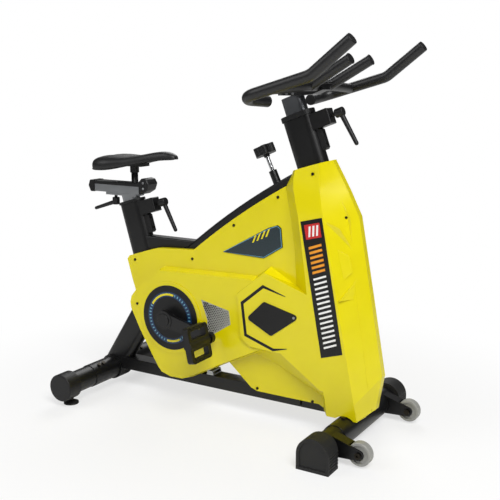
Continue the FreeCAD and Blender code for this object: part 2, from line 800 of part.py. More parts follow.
def strip(top, up, ahead, depth, start, length):
    """Guard strip on the tube's front, under the clamp block."""
    face = Vector(top[0], 0, top[1]) + ahead * (depth / 2 - 6) - up * (start + length)
    box = Part.makeBox(strip_t + 6, 2 * strip_half_width, length, Vector(0, -strip_half_width, 0))
    box = box.makeChamfer(5.0, [edge for edge in box.Edges if edge.BoundBox.XMin > strip_t + 5
                                and edge.BoundBox.YMax - edge.BoundBox.YMin > 1])
    turn = math.degrees(math.atan2(-ahead.z, ahead.x))
    box.rotate(Vector(0, 0, 0), Vector(0, 1, 0), turn)
    box.translate(face)
    return box


def strip_screws(top, up, ahead, depth, start, length):
    screws = []
    for share in (0.25, 0.75):
        base = Vector(top[0], 0, top[1]) + ahead * (depth / 2 + strip_t) - up * (start + length * share)
        screws.append(Part.makeCylinder(3.5, 1.8, base, ahead))
    return screws


def post(top, lean, top_z, length, depth):
    start = on_axis(top, lean, top_z)
    up = direction(lean)
    outer = oval_bar(start, lean, length, depth, post_half_width)
    inner = oval_bar((start[0] + up.x, start[1] + up.z), lean, length + 2, depth - 2 * post_wall,
                     post_half_width - post_wall)
    return outer.cut(inner)


# ---------------------------------------------------------------- saddle and its rail
def seat_rail():
    """Aluminium profile with a slot along its underside."""
    z0, z1 = rail_bottom_z, rail_bottom_z + rail_height
    rail = block(rail_rear_x + rail_cap_t, rail_front_x - rail_cap_t - 14, -rail_half_width, rail_half_width,
                 z0, z1)
    slot = block(rail_rear_x, rail_front_x, -6.5, 6.5, z0 - 1, z0 + 5)
    groove = block(rail_rear_x, rail_front_x, -11, 11, z0 + 5, z0 + 13)
    return rail.cut(slot).cut(groove)


def rail_strip():
    z1 = rail_bottom_z + rail_height
    top = block(rail_rear_x + rail_cap_t, rail_front_x - rail_cap_t - 14, -rail_half_width - 1,
                rail_half_width + 1, z1, z1 + rail_strip_t)
    top = fillet_long(top, Vector(1, 0, 0), 2.5)
    return top.cut(rod(Vector(stem_x, 0, z1 - 1), Vector(stem_x, 0, 800), stem_r))


def rail_rear_cap():
    z0, z1 = rail_bottom_z - 1.5, rail_bottom_z + rail_height + rail_strip_t + 1.5
    x1 = rail_rear_x + rail_cap_t
    cap = prism([(rail_rear_x, z0 + 19), (rail_rear_x + 9, z0), (x1, z0), (x1, z1), (rail_rear_x + 7, z1)],
                -rail_half_width - 2, rail_half_width + 2)
    return cap.makeChamfer(2.0, [edge for edge in cap.Edges if edge.BoundBox.XMax < x1 - 1])


def rail_front_block():
    """Faceted end block with the saddle stem's pinch bolts."""
    x0 = rail_front_x - rail_cap_t - 14
    z0, z1 = rail_bottom_z + 9, rail_bottom_z + rail_height + rail_strip_t
    points = [(x0, z0 - 9), (x0 + 8, z0 - 9), (rail_front_x - 8, z0 + 5), (rail_front_x, z0 + 26),
              (rail_front_x - 9, z1 + 15), (rail_front_x - 26, z1 + 18), (x0, z1 + 5)]
    part = prism(points, -rail_half_width - 3, rail_half_width + 3)
    return part.makeChamfer(2.0, [edge for edge in part.Edges if edge.BoundBox.XMin > x0 + 1])


def rail_bolts():
    bolts = []
    x = rail_front_x - 20
    for side in (-1, 1):
        y = side * (rail_half_width + 3)
        for z in (rail_bottom_z + 20, rail_bottom_z + 38):
            head = cylinder_y(x, z, 4.0, min(y, y + side * 2.5), max(y, y + side * 2.5))
            bolts.append(head.cut(cylinder_y(x, z, 2.0, y + side * 2.5 - 1.5, y + side * 2.5 + 1.5)))
    return bolts


def saddle_stem():
    return rod(Vector(stem_x, 0, rail_bottom_z + rail_height), Vector(stem_x, 0, stem_top_z), stem_r)


def saddle_clamp():
    """Pinch clamp between the stem and the saddle's pan."""
    outer = rod(Vector(stem_x, 0, stem_clamp_z), Vector(stem_x, 0, stem_top_z + 8), stem_clamp_r)
    ears = block(stem_x - 30, stem_x + 44, -22, 22, stem_top_z + 2, stem_top_z + 12)
    body = outer.fuse(ears).removeSplitter()
    return body.cut(saddle_stem())


def saddle_profile():
    """Side outline of the saddle: upper line to the nose, then back along the underside."""
    return [(saddle_rear_x, 745), (saddle_rear_x + 2, 768), (-470, 784), (-430, 791), (-390, 790),
            (-350, 786), (-300, 796), (-262, 806), (-232, 805), (-212, 796), (saddle_nose_x, 784),
            (-212, 779), (-268, 778), (-300, 775), (-330, stem_top_z + 12), (-404, stem_top_z + 12),
            (-430, 751), (-460, 740)]


def saddle_plan():
    """Plan outline: wide rear, waist and narrow nose."""
    half = saddle_width / 2
    side = [(saddle_rear_x, 40), (-488, half - 20), (-465, half - 4), (-440, half), (-410, half - 8),
            (-375, half - 30), (-340, 42), (-300, 31), (-250, 26), (-222, 22), (saddle_nose_x, 10)]
    return side + [(x, -y) for x, y in side[::-1]]


def saddle():
    side = prism(saddle_profile(), -saddle_width, saddle_width)
    corners = [Vector(x, y, 700) for x, y in saddle_plan()]
    plan = Part.Face(Part.makePolygon(corners + corners[:1])).extrude(Vector(0, 0, 150))
    return side.common(plan)


def post_head():
    """Plate welded on the seat post that carries the sliding rail."""
    z1 = rail_bottom_z - body_gap
    x, z = on_axis(seat_tube_top, seat_tube_lean, seat_post_top_z)
    plate = block(rail_lever_x - 24, x + 40, -rail_half_width, rail_half_width, z1 - 8, z1)
    key = block(rail_lever_x - 20, x + 30, -6.0, 6.0, z1, rail_bottom_z + 5.0)
    tee = block(rail_lever_x - 20, x + 30, -10.5, 10.5, rail_bottom_z + 5.5, rail_bottom_z + 12.5)
    neck = block(rail_lever_x - 20, x + 30, -6.0, 6.0, rail_bottom_z + 4.9, rail_bottom_z + 5.6)
    head = plate.fuse(key).fuse(tee).fuse(neck).removeSplitter()
    stud_hole = rod(Vector(rail_lever_x, 0, z1 - 9), Vector(rail_lever_x, 0, z1 + 1), stud_r + running_gap)
    return head.cut(stud_hole)


def seat_post():
    """Sliding post with its head plate welded on."""
    head = post_head()
    tube = post(seat_tube_top, seat_tube_lean, seat_post_top_z, seat_post_length, seat_post_depth)
    below = block(-600, 0, -60, 60, 0, rail_bottom_z - body_gap - 1)
    return tube.common(below).cut(head).fuse(head)


def rail_lever():
    """Lever under the rail that clamps its fore and aft slide."""
    top = rail_bottom_z - body_gap
    stud = rod(Vector(rail_lever_x, 0, top - 34), Vector(rail_lever_x, 0, top - 1), stud_r)
    hub = rod(Vector(rail_lever_x, 0, top - 42), Vector(rail_lever_x, 0, top - 18), 12.0)
    hub = hub.makeFillet(2.5, [edge for edge in hub.Edges if isinstance(edge.Curve, Part.Circle)])
    start = Vector(rail_lever_x, 0, top - 32)
    along = Vector(-0.95, 0, -0.31).normalize()
    arm = Part.makeCone(7.0, 5.5, 92.0, start, along)
    tip = Part.makeSphere(5.5, start + along * 92.0)
    return hub.fuse(arm).fuse(tip), stud.cut(hub)


# ---------------------------------------------------------------- handlebar
def outer_bar_points():
    y = -bar_half_span
    return [Vector(bar_tip[0], y, bar_tip[1]), Vector(bar_bend[0], y, bar_bend[1]),
            Vector(bar_heel[0], y, bar_heel[1]), Vector(hook_end[0], -hook_end[1], hook_end[2])]


def outer_bar(r=bar_r):
    return bent_bar(outer_bar_points(), [bar_bend_r, hook_bend_r], r)


def bar_plugs():
    """End plug in each open end of a bar."""
    points = outer_bar_points()
    plugs = []
    ends = [(points[0], points[0] - points[1]), (points[-1], points[-1] - points[-2])]
    low, high = prong_points()
    ends.append((high, high - low))
    for end, along in ends:
        along = Vector(along).normalize()
        plug = Part.makeCylinder(bar_r, 3.0, end, along)
        plug = plug.makeFillet(2.0, [edge for edge in plug.Edges if isinstance(edge.Curve, Part.Circle)
                                     and (edge.CenterOfMass - end).dot(along) > 1.0])
        plugs += both_sides(plug)
    return plugs


def prong_points():
    low = Vector(prong_base[0], -prong_y_base, prong_base[1])
    high = Vector(prong_tip[0], -prong_y_tip, prong_tip[1])
    return low, high


def inner_prong():
    low, high = prong_points()
    return rod(low, high, bar_r - 1).cut(cross_bar())


def cross_bar():
    """Bent tube that joins the two outer bars and carries the inner prongs."""
    x, z = cross_end
    mid = Vector(prong_base[0], 0, prong_base[1])
    outer = Vector(x, -bar_half_span, z)
    outer_left = Vector(x, bar_half_span, z)
    knee = Vector(mid.x, -prong_y_base - 35, mid.z)
    knee_left = Vector(mid.x, prong_y_base + 35, mid.z)
    bar = bent_bar([outer, knee, knee_left, outer_left], [80.0, 80.0], cross_r)
    return bar


def stem_plate():
    """Plate on the sliding post that reaches forward to the cross bar, with a half-round clamp."""
    x, z = on_axis(head_tube_top, head_tube_lean, head_post_top_z)
    points = [(x - 34, z + 2.0), (x + 26, z + 2.0), (prong_base[0] - 10, prong_base[1] - 22),
              (prong_base[0] + 22, prong_base[1] - 10), (prong_base[0] + 18, prong_base[1] + 6),
              (prong_base[0] - 20, prong_base[1] + 6), (x - 32, z + 14)]
    plate = prism(points, -plate_half_width, plate_half_width)
    return plate.cut(cross_bar()).cut(oval_bar((x, z), head_tube_lean, 60, head_post_depth, post_half_width))


def clamp_cap():
    """Upper half of the cross bar's clamp."""
    x, z = prong_base
    cap = cylinder_y(x, z, cross_r + 7, -plate_half_width, plate_half_width)
    keep = block(x - 40, x + 40, -40, 40, z + 6.4, z + 40)
    ears = block(x - 28, x + 28, -plate_half_width, plate_half_width, z + 6.4, z + 11)
    return cap.common(keep).fuse(ears).cut(cross_bar())


def clamp_bolts():
    bolts = []
    x, z = prong_base
    for side in (-1, 1):
        for dx in (-23.5, 23.5):
            bolts.append(Part.makeCylinder(4.0, 4.0, Vector(x + dx, side * 15, z + 11)))
    px, pz = on_axis(head_tube_top, head_tube_lean, head_post_top_z)
    for dx in (-24, -4, 16):
        bolts += both_sides(cylinder_y(px + dx, pz + 8, 4.5, -plate_half_width - 3.5, -plate_half_width))
    return bolts


# ---------------------------------------------------------------- crankset
def spindle():
    return cylinder_y(crank_x, crank_z, spindle_r, -arm_y + arm_t / 2, arm_y - arm_t / 2)


def drive_pulley():
    disc = cylinder_y(crank_x, crank_z, drive_pulley_r, -belt_y - belt_width / 2 - 2,
                      -belt_y + belt_width / 2 + 2)
    for y0, y1 in ((-belt_y - belt_width / 2 - 3, -belt_y - 4), (-belt_y + 4, -belt_y + belt_width / 2 + 3)):
        dish = cylinder_y(crank_x, crank_z, drive_pulley_r - 10, y0, y1)
        disc = disc.cut(dish.cut(cylinder_y(crank_x, crank_z, 24.0, -80, 0)))
    for i in range(5):
        angle = math.radians(72 * i)
        x, z = crank_x + 52 * math.cos(angle), crank_z + 52 * math.sin(angle)
        disc = disc.cut(cylinder_y(x, z, 17.0, -80, 0))
    return disc.cut(cylinder_y(crank_x, crank_z, spindle_r, -80, 0))


def crank_arm():
    """Right arm at its rest angle: a round boss, a tapering arm and the pedal's eye."""
    y0, y1 = -arm_y - arm_t / 2, -arm_y + arm_t / 2
    boss = cylinder_y(crank_x, crank_z, arm_boss_r, y0, y1)
    eye = cylinder_y(pedal_x, pedal_z, arm_end_r, y0, y1)
    up = Vector(-math.sin(arm_angle), 0, math.cos(arm_angle))
    points = [(crank_x + up.x * 24, crank_z + up.z * 24), (crank_x - up.x * 24, crank_z - up.z * 24),
              (pedal_x - up.x * 14, pedal_z - up.z * 14), (pedal_x + up.x * 14, pedal_z + up.z * 14)]
    web = prism(points, y0 + 1.5, y1 - 1.5)
    arm = boss.fuse(eye).fuse(web)
    hole = cylinder_y(pedal_x, pedal_z, pedal_axle_r, y0 - 1, y1 + 1)
    return arm.cut(hole)


def crank_cap():
    y = -arm_y - arm_t / 2
    cap = cylinder_y(crank_x, crank_z, arm_boss_r - 9, y - 2.5, y)
    return cap.makeFillet(1.2, [edge for edge in cap.Edges if isinstance(edge.Curve, Part.Circle)
                                and edge.BoundBox.YMin < y - 2.4])


def pedal_axle():
    y = -arm_y - arm_t / 2
    shaft = cylinder_y(pedal_x, pedal_z, pedal_axle_r, y - pedal_width + 2, y + arm_t)
    flange = cylinder_y(pedal_x, pedal_z, 11.0, y - 3, y)
    return shaft.fuse(flange).removeSplitter()


def pedal():
    """Caged platform pedal, laid flat about its axle and then turned to its rest tilt."""
    y1 = -arm_y - arm_t / 2 - 4
    y0 = y1 - pedal_width
    half = pedal_length / 2
    body = block(-half, half, y0, y1, -pedal_t / 2 + 4, pedal_t / 2 - 4)
    body = fillet_long(body, Vector(0, 0, 1), 12.0)
    for x0, x1 in ((-half + 12, -17), (17, half - 12)):
        window = block(x0, x1, y0 + 14, y1 - 14, -pedal_t, pedal_t)
        body = body.cut(fillet_long(window, Vector(0, 0, 1), 4.0))
    barrel = cylinder_y(0, 0, pedal_t / 2, y0, y1)
    teeth = []
    for x in (-half + 3, half - 6):
        for i in range(4):
            y = y0 + 18 + i * (pedal_width - 36) / 3
            for z in (-pedal_t / 2 + 1.5, pedal_t / 2 - 4):
                teeth.append(block(x, x + 3, y - 3, y + 3, z, z + 2.5))
    shape = body.fuse([barrel] + teeth)
    shape = shape.cut(cylinder_y(0, 0, pedal_axle_r + running_gap, y0 + 3, y1 + 5))
    shape.rotate(Vector(0, 0, 0), Vector(0, 1, 0), pedal_tilt)
    shape.translate(Vector(pedal_x, 0, pedal_z))
    return shape


def opposite(shape):
    """The left-hand twin of a crank part, half a turn away about the spindle."""
    twin = mirrored(shape)
    twin.rotate(Vector(crank_x, 0, crank_z), Vector(0, 1, 0), 180)
    return twin


def opposite_pedal():
    twin = mirrored(pedal())
    twin.translate(Vector(2 * (crank_x - pedal_x), 0, 2 * (crank_z - pedal_z)))
    return twin


# ---------------------------------------------------------------- flywheel, belt and brake
def flywheel():
    rim = cylinder_y(flywheel_x, flywheel_z, flywheel_r, -rim_width / 2, rim_width / 2)
    inner = cylinder_y(flywheel_x, flywheel_z, flywheel_r - rim_depth, -rim_width, rim_width)
    web = cylinder_y(flywheel_x, flywheel_z, flywheel_r - rim_depth, -web_t / 2, web_t / 2)
    hub = cylinder_y(flywheel_x, flywheel_z, hub_r, -hub_half, hub_half)
    wheel_body = rim.cut(inner).fuse(web).fuse(hub)
    for i in range(5):
        angle = math.radians(72 * i + 18)
        x, z = flywheel_x + 94 * math.cos(angle), flywheel_z + 94 * math.sin(angle)
        wheel_body = wheel_body.cut(cylinder_y(x, z, 30.0, -20, 20))
    return wheel_body.cut(cylinder_y(flywheel_x, flywheel_z, axle_r, -60, 60))


def flywheel_axle():
    return cylinder_y(flywheel_x, flywheel_z, axle_r, -belt_y - belt_width / 2 - 4, beam_half_width + stand_t + 8)


def driven_pulley():
    disc = cylinder_y(flywheel_x, flywheel_z, driven_pulley_r, -belt_y - belt_width / 2 - 2,
                      -belt_y + belt_width / 2 + 2)
    return disc.cut(cylinder_y(flywheel_x, flywheel_z, axle_r, -90, 0))


def drive_belt():
    """Closed belt: two straight runs and an arc round each pulley."""
    def loop(grow):
        big, small = drive_pulley_r + body_gap + grow, driven_pulley_r + body_gap + grow
        span = math.dist((crank_x, crank_z), (flywheel_x, flywheel_z))
        tilt = math.atan2(flywheel_z - crank_z, flywheel_x - crank_x)
        lap = math.acos((big - small) / span)

        def spot(cx, cz, r, angle):
            return Vector(cx + r * math.cos(angle), -belt_y - belt_width / 2, cz + r * math.sin(angle))
        a = spot(crank_x, crank_z, big, tilt + lap)
        b = spot(crank_x, crank_z, big, tilt + math.pi)
        c = spot(crank_x, crank_z, big, tilt - lap)
        d = spot(flywheel_x, flywheel_z, small, tilt - lap)
        e = spot(flywheel_x, flywheel_z, small, tilt)
        f = spot(flywheel_x, flywheel_z, small, tilt + lap)
        edges = [Part.Arc(a, b, c).toShape(), Part.LineSegment(c, d).toShape(),
                 Part.Arc(d, e, f).toShape(), Part.LineSegment(f, a).toShape()]
        return Part.Face(Part.Wire(edges)).extrude(Vector(0, belt_width, 0))
    return loop(belt_t).cut(loop(0))


def rod_point(distance):
    """Point on the brake rod's centre line, measured down from the knob's centre."""
    return Vector(knob_centre[0], 0, knob_centre[1]) - rod_up * distance


def rim_distance():
    """Distance down the rod from the knob to the flywheel's rim."""
    to_wheel = Vector(flywheel_x - knob_centre[0], 0, flywheel_z - knob_centre[1])
    along = -to_wheel.dot(rod_up)
    aside = math.sqrt(to_wheel.Length ** 2 - along ** 2)
    return along - math.sqrt(flywheel_r ** 2 - aside ** 2)


def brake_hole():
    return rod(rod_point(30), rod_point(240), 12.0)


def brake_knob():
    """Lobed hand knob."""
    lobes = []
    for i in range(6):
        angle = math.radians(60 * i)
        lobes.append(Part.makeCylinder(11.0, knob_t, Vector((knob_r - 11) * math.cos(angle),
                                                            (knob_r - 11) * math.sin(angle), -knob_t / 2)))
    core = Part.makeCylinder(knob_r - 6, knob_t, Vector(0, 0, -knob_t / 2))
    shape = core.fuse(lobes).removeSplitter()
    neck = Part.makeCylinder(9.0, 8.0, Vector(0, 0, -knob_t / 2 - 8))
    shape = shape.fuse(neck)
    shape = shape.cut(Part.makeCylinder(rod_r + running_gap, 30, Vector(0, 0, -knob_t / 2 - 9)))
    shape.rotate(Vector(0, 0, 0), Vector(0, 1, 0), -rod_lean)
    shape.translate(Vector(knob_centre[0], 0, knob_centre[1]))
    return shape


def brake_rod():
    return rod(rod_point(knob_t / 2 - 13.5 + 8), rod_point(rim_distance() - shoe_clearance - 30), rod_r)


def brake_sleeve():
    """Guide bush welded through the spine, with the rod running inside it."""
    outer = rod(rod_point(sleeve_top), rod_point(sleeve_top + 120), 12.0)
    return outer.cut(rod(rod_point(30), rod_point(300), rod_r + running_gap))


def brake_shoe():
    """Carrier and felt-faced shoe over the flywheel's rim."""
    near = rim_distance() - shoe_clearance
    socket = rod(rod_point(near - 45), rod_point(near - 8), 11.0)
    hole = rod(rod_point(near - 46), rod_point(near - 14), rod_r + running_gap)
    centre = rod_point(near)
    angle = math.degrees(math.atan2(centre.z - flywheel_z, centre.x - flywheel_x))
    ring_centre = rod_up * shoe_clearance
    ring_x = flywheel_x + ring_centre.x
    ring_z = flywheel_z + ring_centre.z
    inside = cylinder_y(ring_x, ring_z, flywheel_r + shoe_face_gap, -20, 20)
    ring = cylinder_y(ring_x, ring_z, flywheel_r + shoe_t, -12, 12).cut(inside)
    sector = Part.makeBox(60, 40, 80, Vector(-30, -20, -40))
    sector.rotate(Vector(0, 0, 0), Vector(0, 1, 0), 90 - angle)
    sector.translate(centre)
    carrier = socket.cut(ring).cut(inside)
    return ring.common(sector).fuse(carrier).removeSplitter().cut(hole)


# ---------------------------------------------------------------- covers
def cover_rim():
    """Whole outline of a cover's flange, following the spine at a fixed reveal."""
    first = math.degrees(math.atan2(515 - spine_centre[1], -100 - spine_centre[0]))
    last = math.degrees(math.atan2(727 - spine_centre[1], 206 - spine_centre[0]))
    along = arc_points(spine_centre, spine_outer_r - cover_reveal, first, last, 12)
    return rim_rear_top + along + [(300, 745), (400, 400), (400, 110)] + rim_bottom \
        + offset(belly_loop(), draft)[:len(belly)] + rim_rear


def belly_loop():
    return belly + plateau_top


def side_half_width(z):
    return side_y - shoulder_taper * max(0.0, z - shoulder_z)


def shell_ring(level, inset):
    z, rear_flange, rear_side, front_side, nose = level
    half = side_half_width(z)
    section = [(rear_flange, wall + 1), (rear_flange, -flange_y), (rear_side, -half),
               (front_side, -half), (nose, -nose_half), (nose, wall + 1)]
    if inset:
        section = offset(section, -inset)
    section = [(x, min(y, 1.0 if inset else 0.0)) for x, y in section]
    return [Vector(x, y, z) for x, y in section]


def front_shell(inset=0.0):
    levels = list(shell_levels)
    if inset:
        levels[0] = (levels[0][0] - 20,) + levels[0][1:]
        levels[-1] = (levels[-1][0] + 20,) + levels[-1][1:]
    return faceted([shell_ring(level, inset) for level in levels])


def above_shell(drop=0.0):
    (x0, z0), (x1, z1) = shell_top_line
    return prism([(x0 - 300, z0 - 90 - drop), (x0, z0 - drop), (x1, z1 - drop), (x1 + 60, z1 + 18 - drop),
                  (x1 + 60, 1000), (x0 - 300, 1000)], -150, 150)


def outer_body():
    body = prism(cover_rim(), -flange_y, 0)
    plateau = pad(offset(belly_loop(), draft), flange_y, belly_loop(), plateau_y)
    hexagon = pad(hexagon_foot, flange_y - 1, hexagon_side, side_y)
    bead = cylinder_y(crank_x, crank_z, bead_r, -plateau_y - bead_height, -plateau_y + 2)
    shell = front_shell().cut(above_shell()).cut(block(300, 520, -100, 10, 0, 78))
    return body.fuse([plateau, hexagon, shell, bead]).removeSplitter()


def cavity():
    inner_rim = offset(cover_rim(), -wall)
    parts = [prism(inner_rim, -flange_y + wall, 1)]
    foot = offset(offset(belly_loop(), draft), -wall)
    top = offset(belly_loop(), -wall)
    parts.append(faceted([[Vector(x, -flange_y + wall + 8, z) for x, z in foot],
                          [Vector(x, -flange_y + wall, z) for x, z in foot],
                          [Vector(x, -plateau_y + wall, z) for x, z in top]]))
    foot = offset(hexagon_foot, -wall)
    top = offset(hexagon_side, -wall)
    parts.append(faceted([[Vector(x, -flange_y + wall + 8, z) for x, z in foot],
                          [Vector(x, -flange_y + wall, z) for x, z in foot],
                          [Vector(x, -side_y + wall, z) for x, z in top]]))
    shell = front_shell(wall).cut(above_shell(wall)).cut(block(300, 520, -100, 10, 0, 78 + wall))
    parts.append(shell)
    return parts


def crank_disc():
    """Round trim disc round the crank, pressed into the cover's bead."""
    disc = cylinder_y(crank_x, crank_z, crank_disc_r, -plateau_y - crank_disc_t, -plateau_y)
    register = cylinder_y(crank_x, crank_z, crank_disc_r - 6, -plateau_y, -plateau_y + wall)
    return disc.fuse(register).cut(cylinder_y(crank_x, crank_z, spindle_r + 1.5, -100, 0)).removeSplitter()


def screw_places():
    places = [(x, z, flange_y) for x, z in flange_screws]
    places += [(x, z, side_half_width(z) + side_screw_lift) for x, z in side_screws]
    places.append((-317, 318, plateau_y))
    return places


def right_cover():
    cover = outer_body()
    for part in cavity():
        cover = cover.cut(part)
    for bar in frame_bars(cover_tube_gap):
        cover = cover.cut(bar)
    cover = cover.cut(prism(offset(stand_outline(), cover_tube_gap),
                            -beam_half_width - stand_t - cover_tube_gap, 0))
    cover = cover.cut(cylinder_y(crank_x, crank_z, crank_disc_r - 6, -100, 0))
    cover = cover.cut(cylinder_y(crank_x, crank_z, crank_disc_r, -100, -plateau_y))
    cover = cover.cut(prism(offset(diamond, -diamond_inset), -100, -60))
    cover = cover.cut(prism(vent_outline, -100, -60))
    for x, z, y in screw_places():
        cover = cover.cut(cylinder_y(x, z, 2.0, -y - 5, -y + wall + 2))
    cover = cover.cut(block(-600, 600, -seam, 10, 0, 1200))
    return sorted(cover.Solids, key=lambda solid: solid.Volume)[-1]


def cover_screws():
    screws = []
    for x, z, y in screw_places():
        head = cylinder_y(x, z, screw_r, -y - screw_head, -y)
        shank = cylinder_y(x, z, 2.0, -y, -y + 5)
        slot = block(x - screw_r, x + screw_r, -y - screw_head, -y - screw_head + 0.9, z - 0.6, z + 0.6)
        screws += both_sides(head.fuse(shank).cut(slot))
    return screws


def access_cover():
    plate = prism(rounded(diamond, diamond_corner_r), -side_y - diamond_t, -side_y)
    plug = prism(offset(diamond, -diamond_inset), -side_y, -side_y + wall)
    body = plate.fuse(plug).removeSplitter()
    return body.cut(cylinder_y(258, 357, 3.0, -side_y - diamond_t - 1, -side_y - diamond_t + 1))


def vent_mesh():
    """Perforated panel set in the cover's window."""
    panel = prism(vent_outline, -plateau_y + 0.5, -plateau_y + 0.5 + vent_t)
    return panel


# ---------------------------------------------------------------- build every node
tube_hole = foot_hole().fuse(mirrored(foot_hole()))
export("front_stabiliser", stabiliser(front_tube_x, front_tube_z), *both_sides(wheel_bracket()))
export("rear_stabiliser", stabiliser(rear_tube_x, rear_tube_z).cut(tube_hole))
export("stabiliser_sleeves", sleeve(front_tube_x, front_tube_z), sleeve(rear_tube_x, rear_tube_z))
export("front_foot_caps", *both_sides(front_cap()))
export("rear_end_caps", *both_sides(rear_cap()))
export_pair("levelling_foot", levelling_foot())
export_pair("transport_wheel", wheel())

export("floor_beam", floor_beam())
export("seat_tube", seat_tube())
export("rear_leg", rear_leg(), leg_collar())
export("spine_tube", spine(), seat_brace())
export("head_tube", head_tube())
export("front_post", front_post())
export("crank_bracket", bracket_shell(), *crank_gussets())
export("bearings", *both_sides(bracket_bearing()), *both_sides(flywheel_bearing()))
export("flywheel_stands", *both_sides(flywheel_stand()))
export("cover_bracket", cover_bracket())

seat_place = (seat_tube_top, seat_up, seat_ahead, seat_tube_depth)
head_place = (head_tube_top, head_up, head_ahead, head_tube_depth)
seat_bush = bush(seat_tube_top, seat_tube_lean, seat_tube_depth, tube_half_width, seat_post_depth,
                 seat_rim_height)
head_bush = bush(head_tube_top, head_tube_lean, head_tube_depth, head_tube_half_width, head_post_depth,
                 head_rim_height)
seat_block = clamp_block(*seat_place).cut(seat_bar()).cut(seat_bush)
head_block = clamp_block(*head_place).cut(head_bar()).cut(head_bush)
seat_strip = strip(*seat_place, strip_start, strip_length).cut(seat_bar()).cut(seat_block)
head_strip = strip(*head_place, strip_start, strip_length).cut(head_bar()).cut(head_block)
strip_bolts = strip_screws(*seat_place, strip_start, strip_length)
strip_bolts += strip_screws(*head_place, strip_start, strip_length)
export("tube_bushes", seat_bush, head_bush)
export("clamp_blocks", seat_block, head_block)
export("guide_strips", seat_strip, head_strip)
export("frame_fasteners", *stabiliser_bolts(), *both_sides(wheel_bolt()), *both_sides(foot_nut()), *strip_bolts)

export("seat_post", seat_post())
export("seat_rail", seat_rail())
export("rail_cover_strip", rail_strip())
export("rail_end_blocks", rail_rear_cap(), rail_front_block())
export("rail_bolts", *rail_bolts())
export("saddle_stem", saddle_stem(), saddle_clamp())
export("saddle", saddle())
export("seat_height_lever", *lever(clamp_screw_base(*seat_place), seat_ahead, hanging(seat_up, seat_ahead)))
export("bar_height_lever", *lever(clamp_screw_base(*head_place), head_ahead, hanging(head_up, head_ahead)))
export("rail_lever", *rail_lever())

grip_bar = outer_bar()
export("handlebar_post", post(head_tube_top, head_tube_lean, head_post_top_z, head_post_length, head_post_depth))
export("handlebar_stem", stem_plate(), clamp_cap())
export("stem_bolts", *clamp_bolts())
export_pair("outer_bar", grip_bar)
export("cross_bar", cross_bar().cut(grip_bar).cut(mirrored(grip_bar)), *both_sides(inner_prong()))
export("bar_end_plugs", *bar_plugs())

export("crank_spindle", spindle())
export("drive_pulley", drive_pulley())
export("crank_arms", crank_arm(), crank_cap(), opposite(crank_arm()), opposite(crank_cap()))
export("pedal_axles", pedal_axle(), opposite(pedal_axle()))
export("pedal_right", pedal())
export("pedal_left", opposite_pedal())
export("flywheel", flywheel())
export("flywheel_axle", flywheel_axle(), driven_pulley())
export("drive_belt", drive_belt())
export("brake_knob", brake_knob())
export("brake_rod", brake_rod())
export("brake_sleeve", brake_sleeve())
export("brake_shoe", brake_shoe())

export_pair("side_cover", right_cover())
export("cover_screws", *cover_screws())
export("crank_discs", *both_sides(crank_disc()))
export("access_covers", *both_sides(access_cover()))
export("vent_meshes", *both_sides(vent_mesh()))
label = prism(label_outline, -side_y - label_t, -side_y)
nameplate = prism(badge_outline, -flange_y - badge_t, -flange_y)
export("nameplates", *both_sides(label), *both_sides(nameplate))
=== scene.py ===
import bpy
import bmesh
import json
import math
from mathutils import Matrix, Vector
from mathutils.bvhtree import BVHTree


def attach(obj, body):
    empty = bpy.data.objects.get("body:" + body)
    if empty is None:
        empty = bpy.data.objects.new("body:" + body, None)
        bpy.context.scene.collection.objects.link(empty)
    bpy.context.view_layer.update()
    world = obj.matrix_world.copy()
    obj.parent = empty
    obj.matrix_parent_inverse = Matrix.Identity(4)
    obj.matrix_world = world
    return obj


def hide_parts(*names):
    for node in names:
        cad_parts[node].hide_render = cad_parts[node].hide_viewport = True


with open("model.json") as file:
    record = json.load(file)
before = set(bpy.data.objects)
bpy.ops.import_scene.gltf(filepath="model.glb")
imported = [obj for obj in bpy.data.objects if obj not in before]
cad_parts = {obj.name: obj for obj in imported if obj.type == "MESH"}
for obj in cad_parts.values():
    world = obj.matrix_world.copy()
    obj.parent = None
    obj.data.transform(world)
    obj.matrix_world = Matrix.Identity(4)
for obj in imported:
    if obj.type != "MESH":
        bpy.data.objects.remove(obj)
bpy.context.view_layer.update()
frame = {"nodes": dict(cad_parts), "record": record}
nodes = frame["nodes"]
scene = bpy.context.scene
mm = 0.001
bodyOf = {}
for body, members in frame["record"]["behaviour"]["bodies"].items():
    for member in members:
        bodyOf[member] = body
print("frame loaded:", len(nodes), "nodes")

# camera, lights and floor
view = {"place": (1.36776, -2.16155, 1.01485), "tilt": 78.91, "turn": 31.11, "lens": 61.06}
cameraData = bpy.data.cameras.new("camera")
cameraData.lens = view["lens"]
cameraData.sensor_width = 36.0
camera = bpy.data.objects.new("camera", cameraData)
camera.location = view["place"]
camera.rotation_euler = (math.radians(view["tilt"]), 0, math.radians(view["turn"]))
scene.collection.objects.link(camera)
scene.camera = camera
scene.view_settings.view_transform = "Standard"

studio = {"sky": 1.0, "ambient": 0.13, "aim": (0, 0, 0.5), "lamps": [  # name, place, width, watts
    ("keyLamp", (2.6, -2.4, 4.0), 2.4, 225.0),
    ("fillLamp", (-2.4, -2.9, 3.2), 2.4, 46.0),
    ("rimLamp", (-1.2, 2.6, 2.8), 2.2, 50.0)]}


def hexColour(text):
    # sRGB hex to the linear values that the shaders want
    channels = [int(text[i:i + 2], 16) / 255 for i in (1, 3, 5)]
    return [c / 12.92 if c <= 0.04045 else ((c + 0.055) / 1.055) ** 2.4 for c in channels] + [1.0]


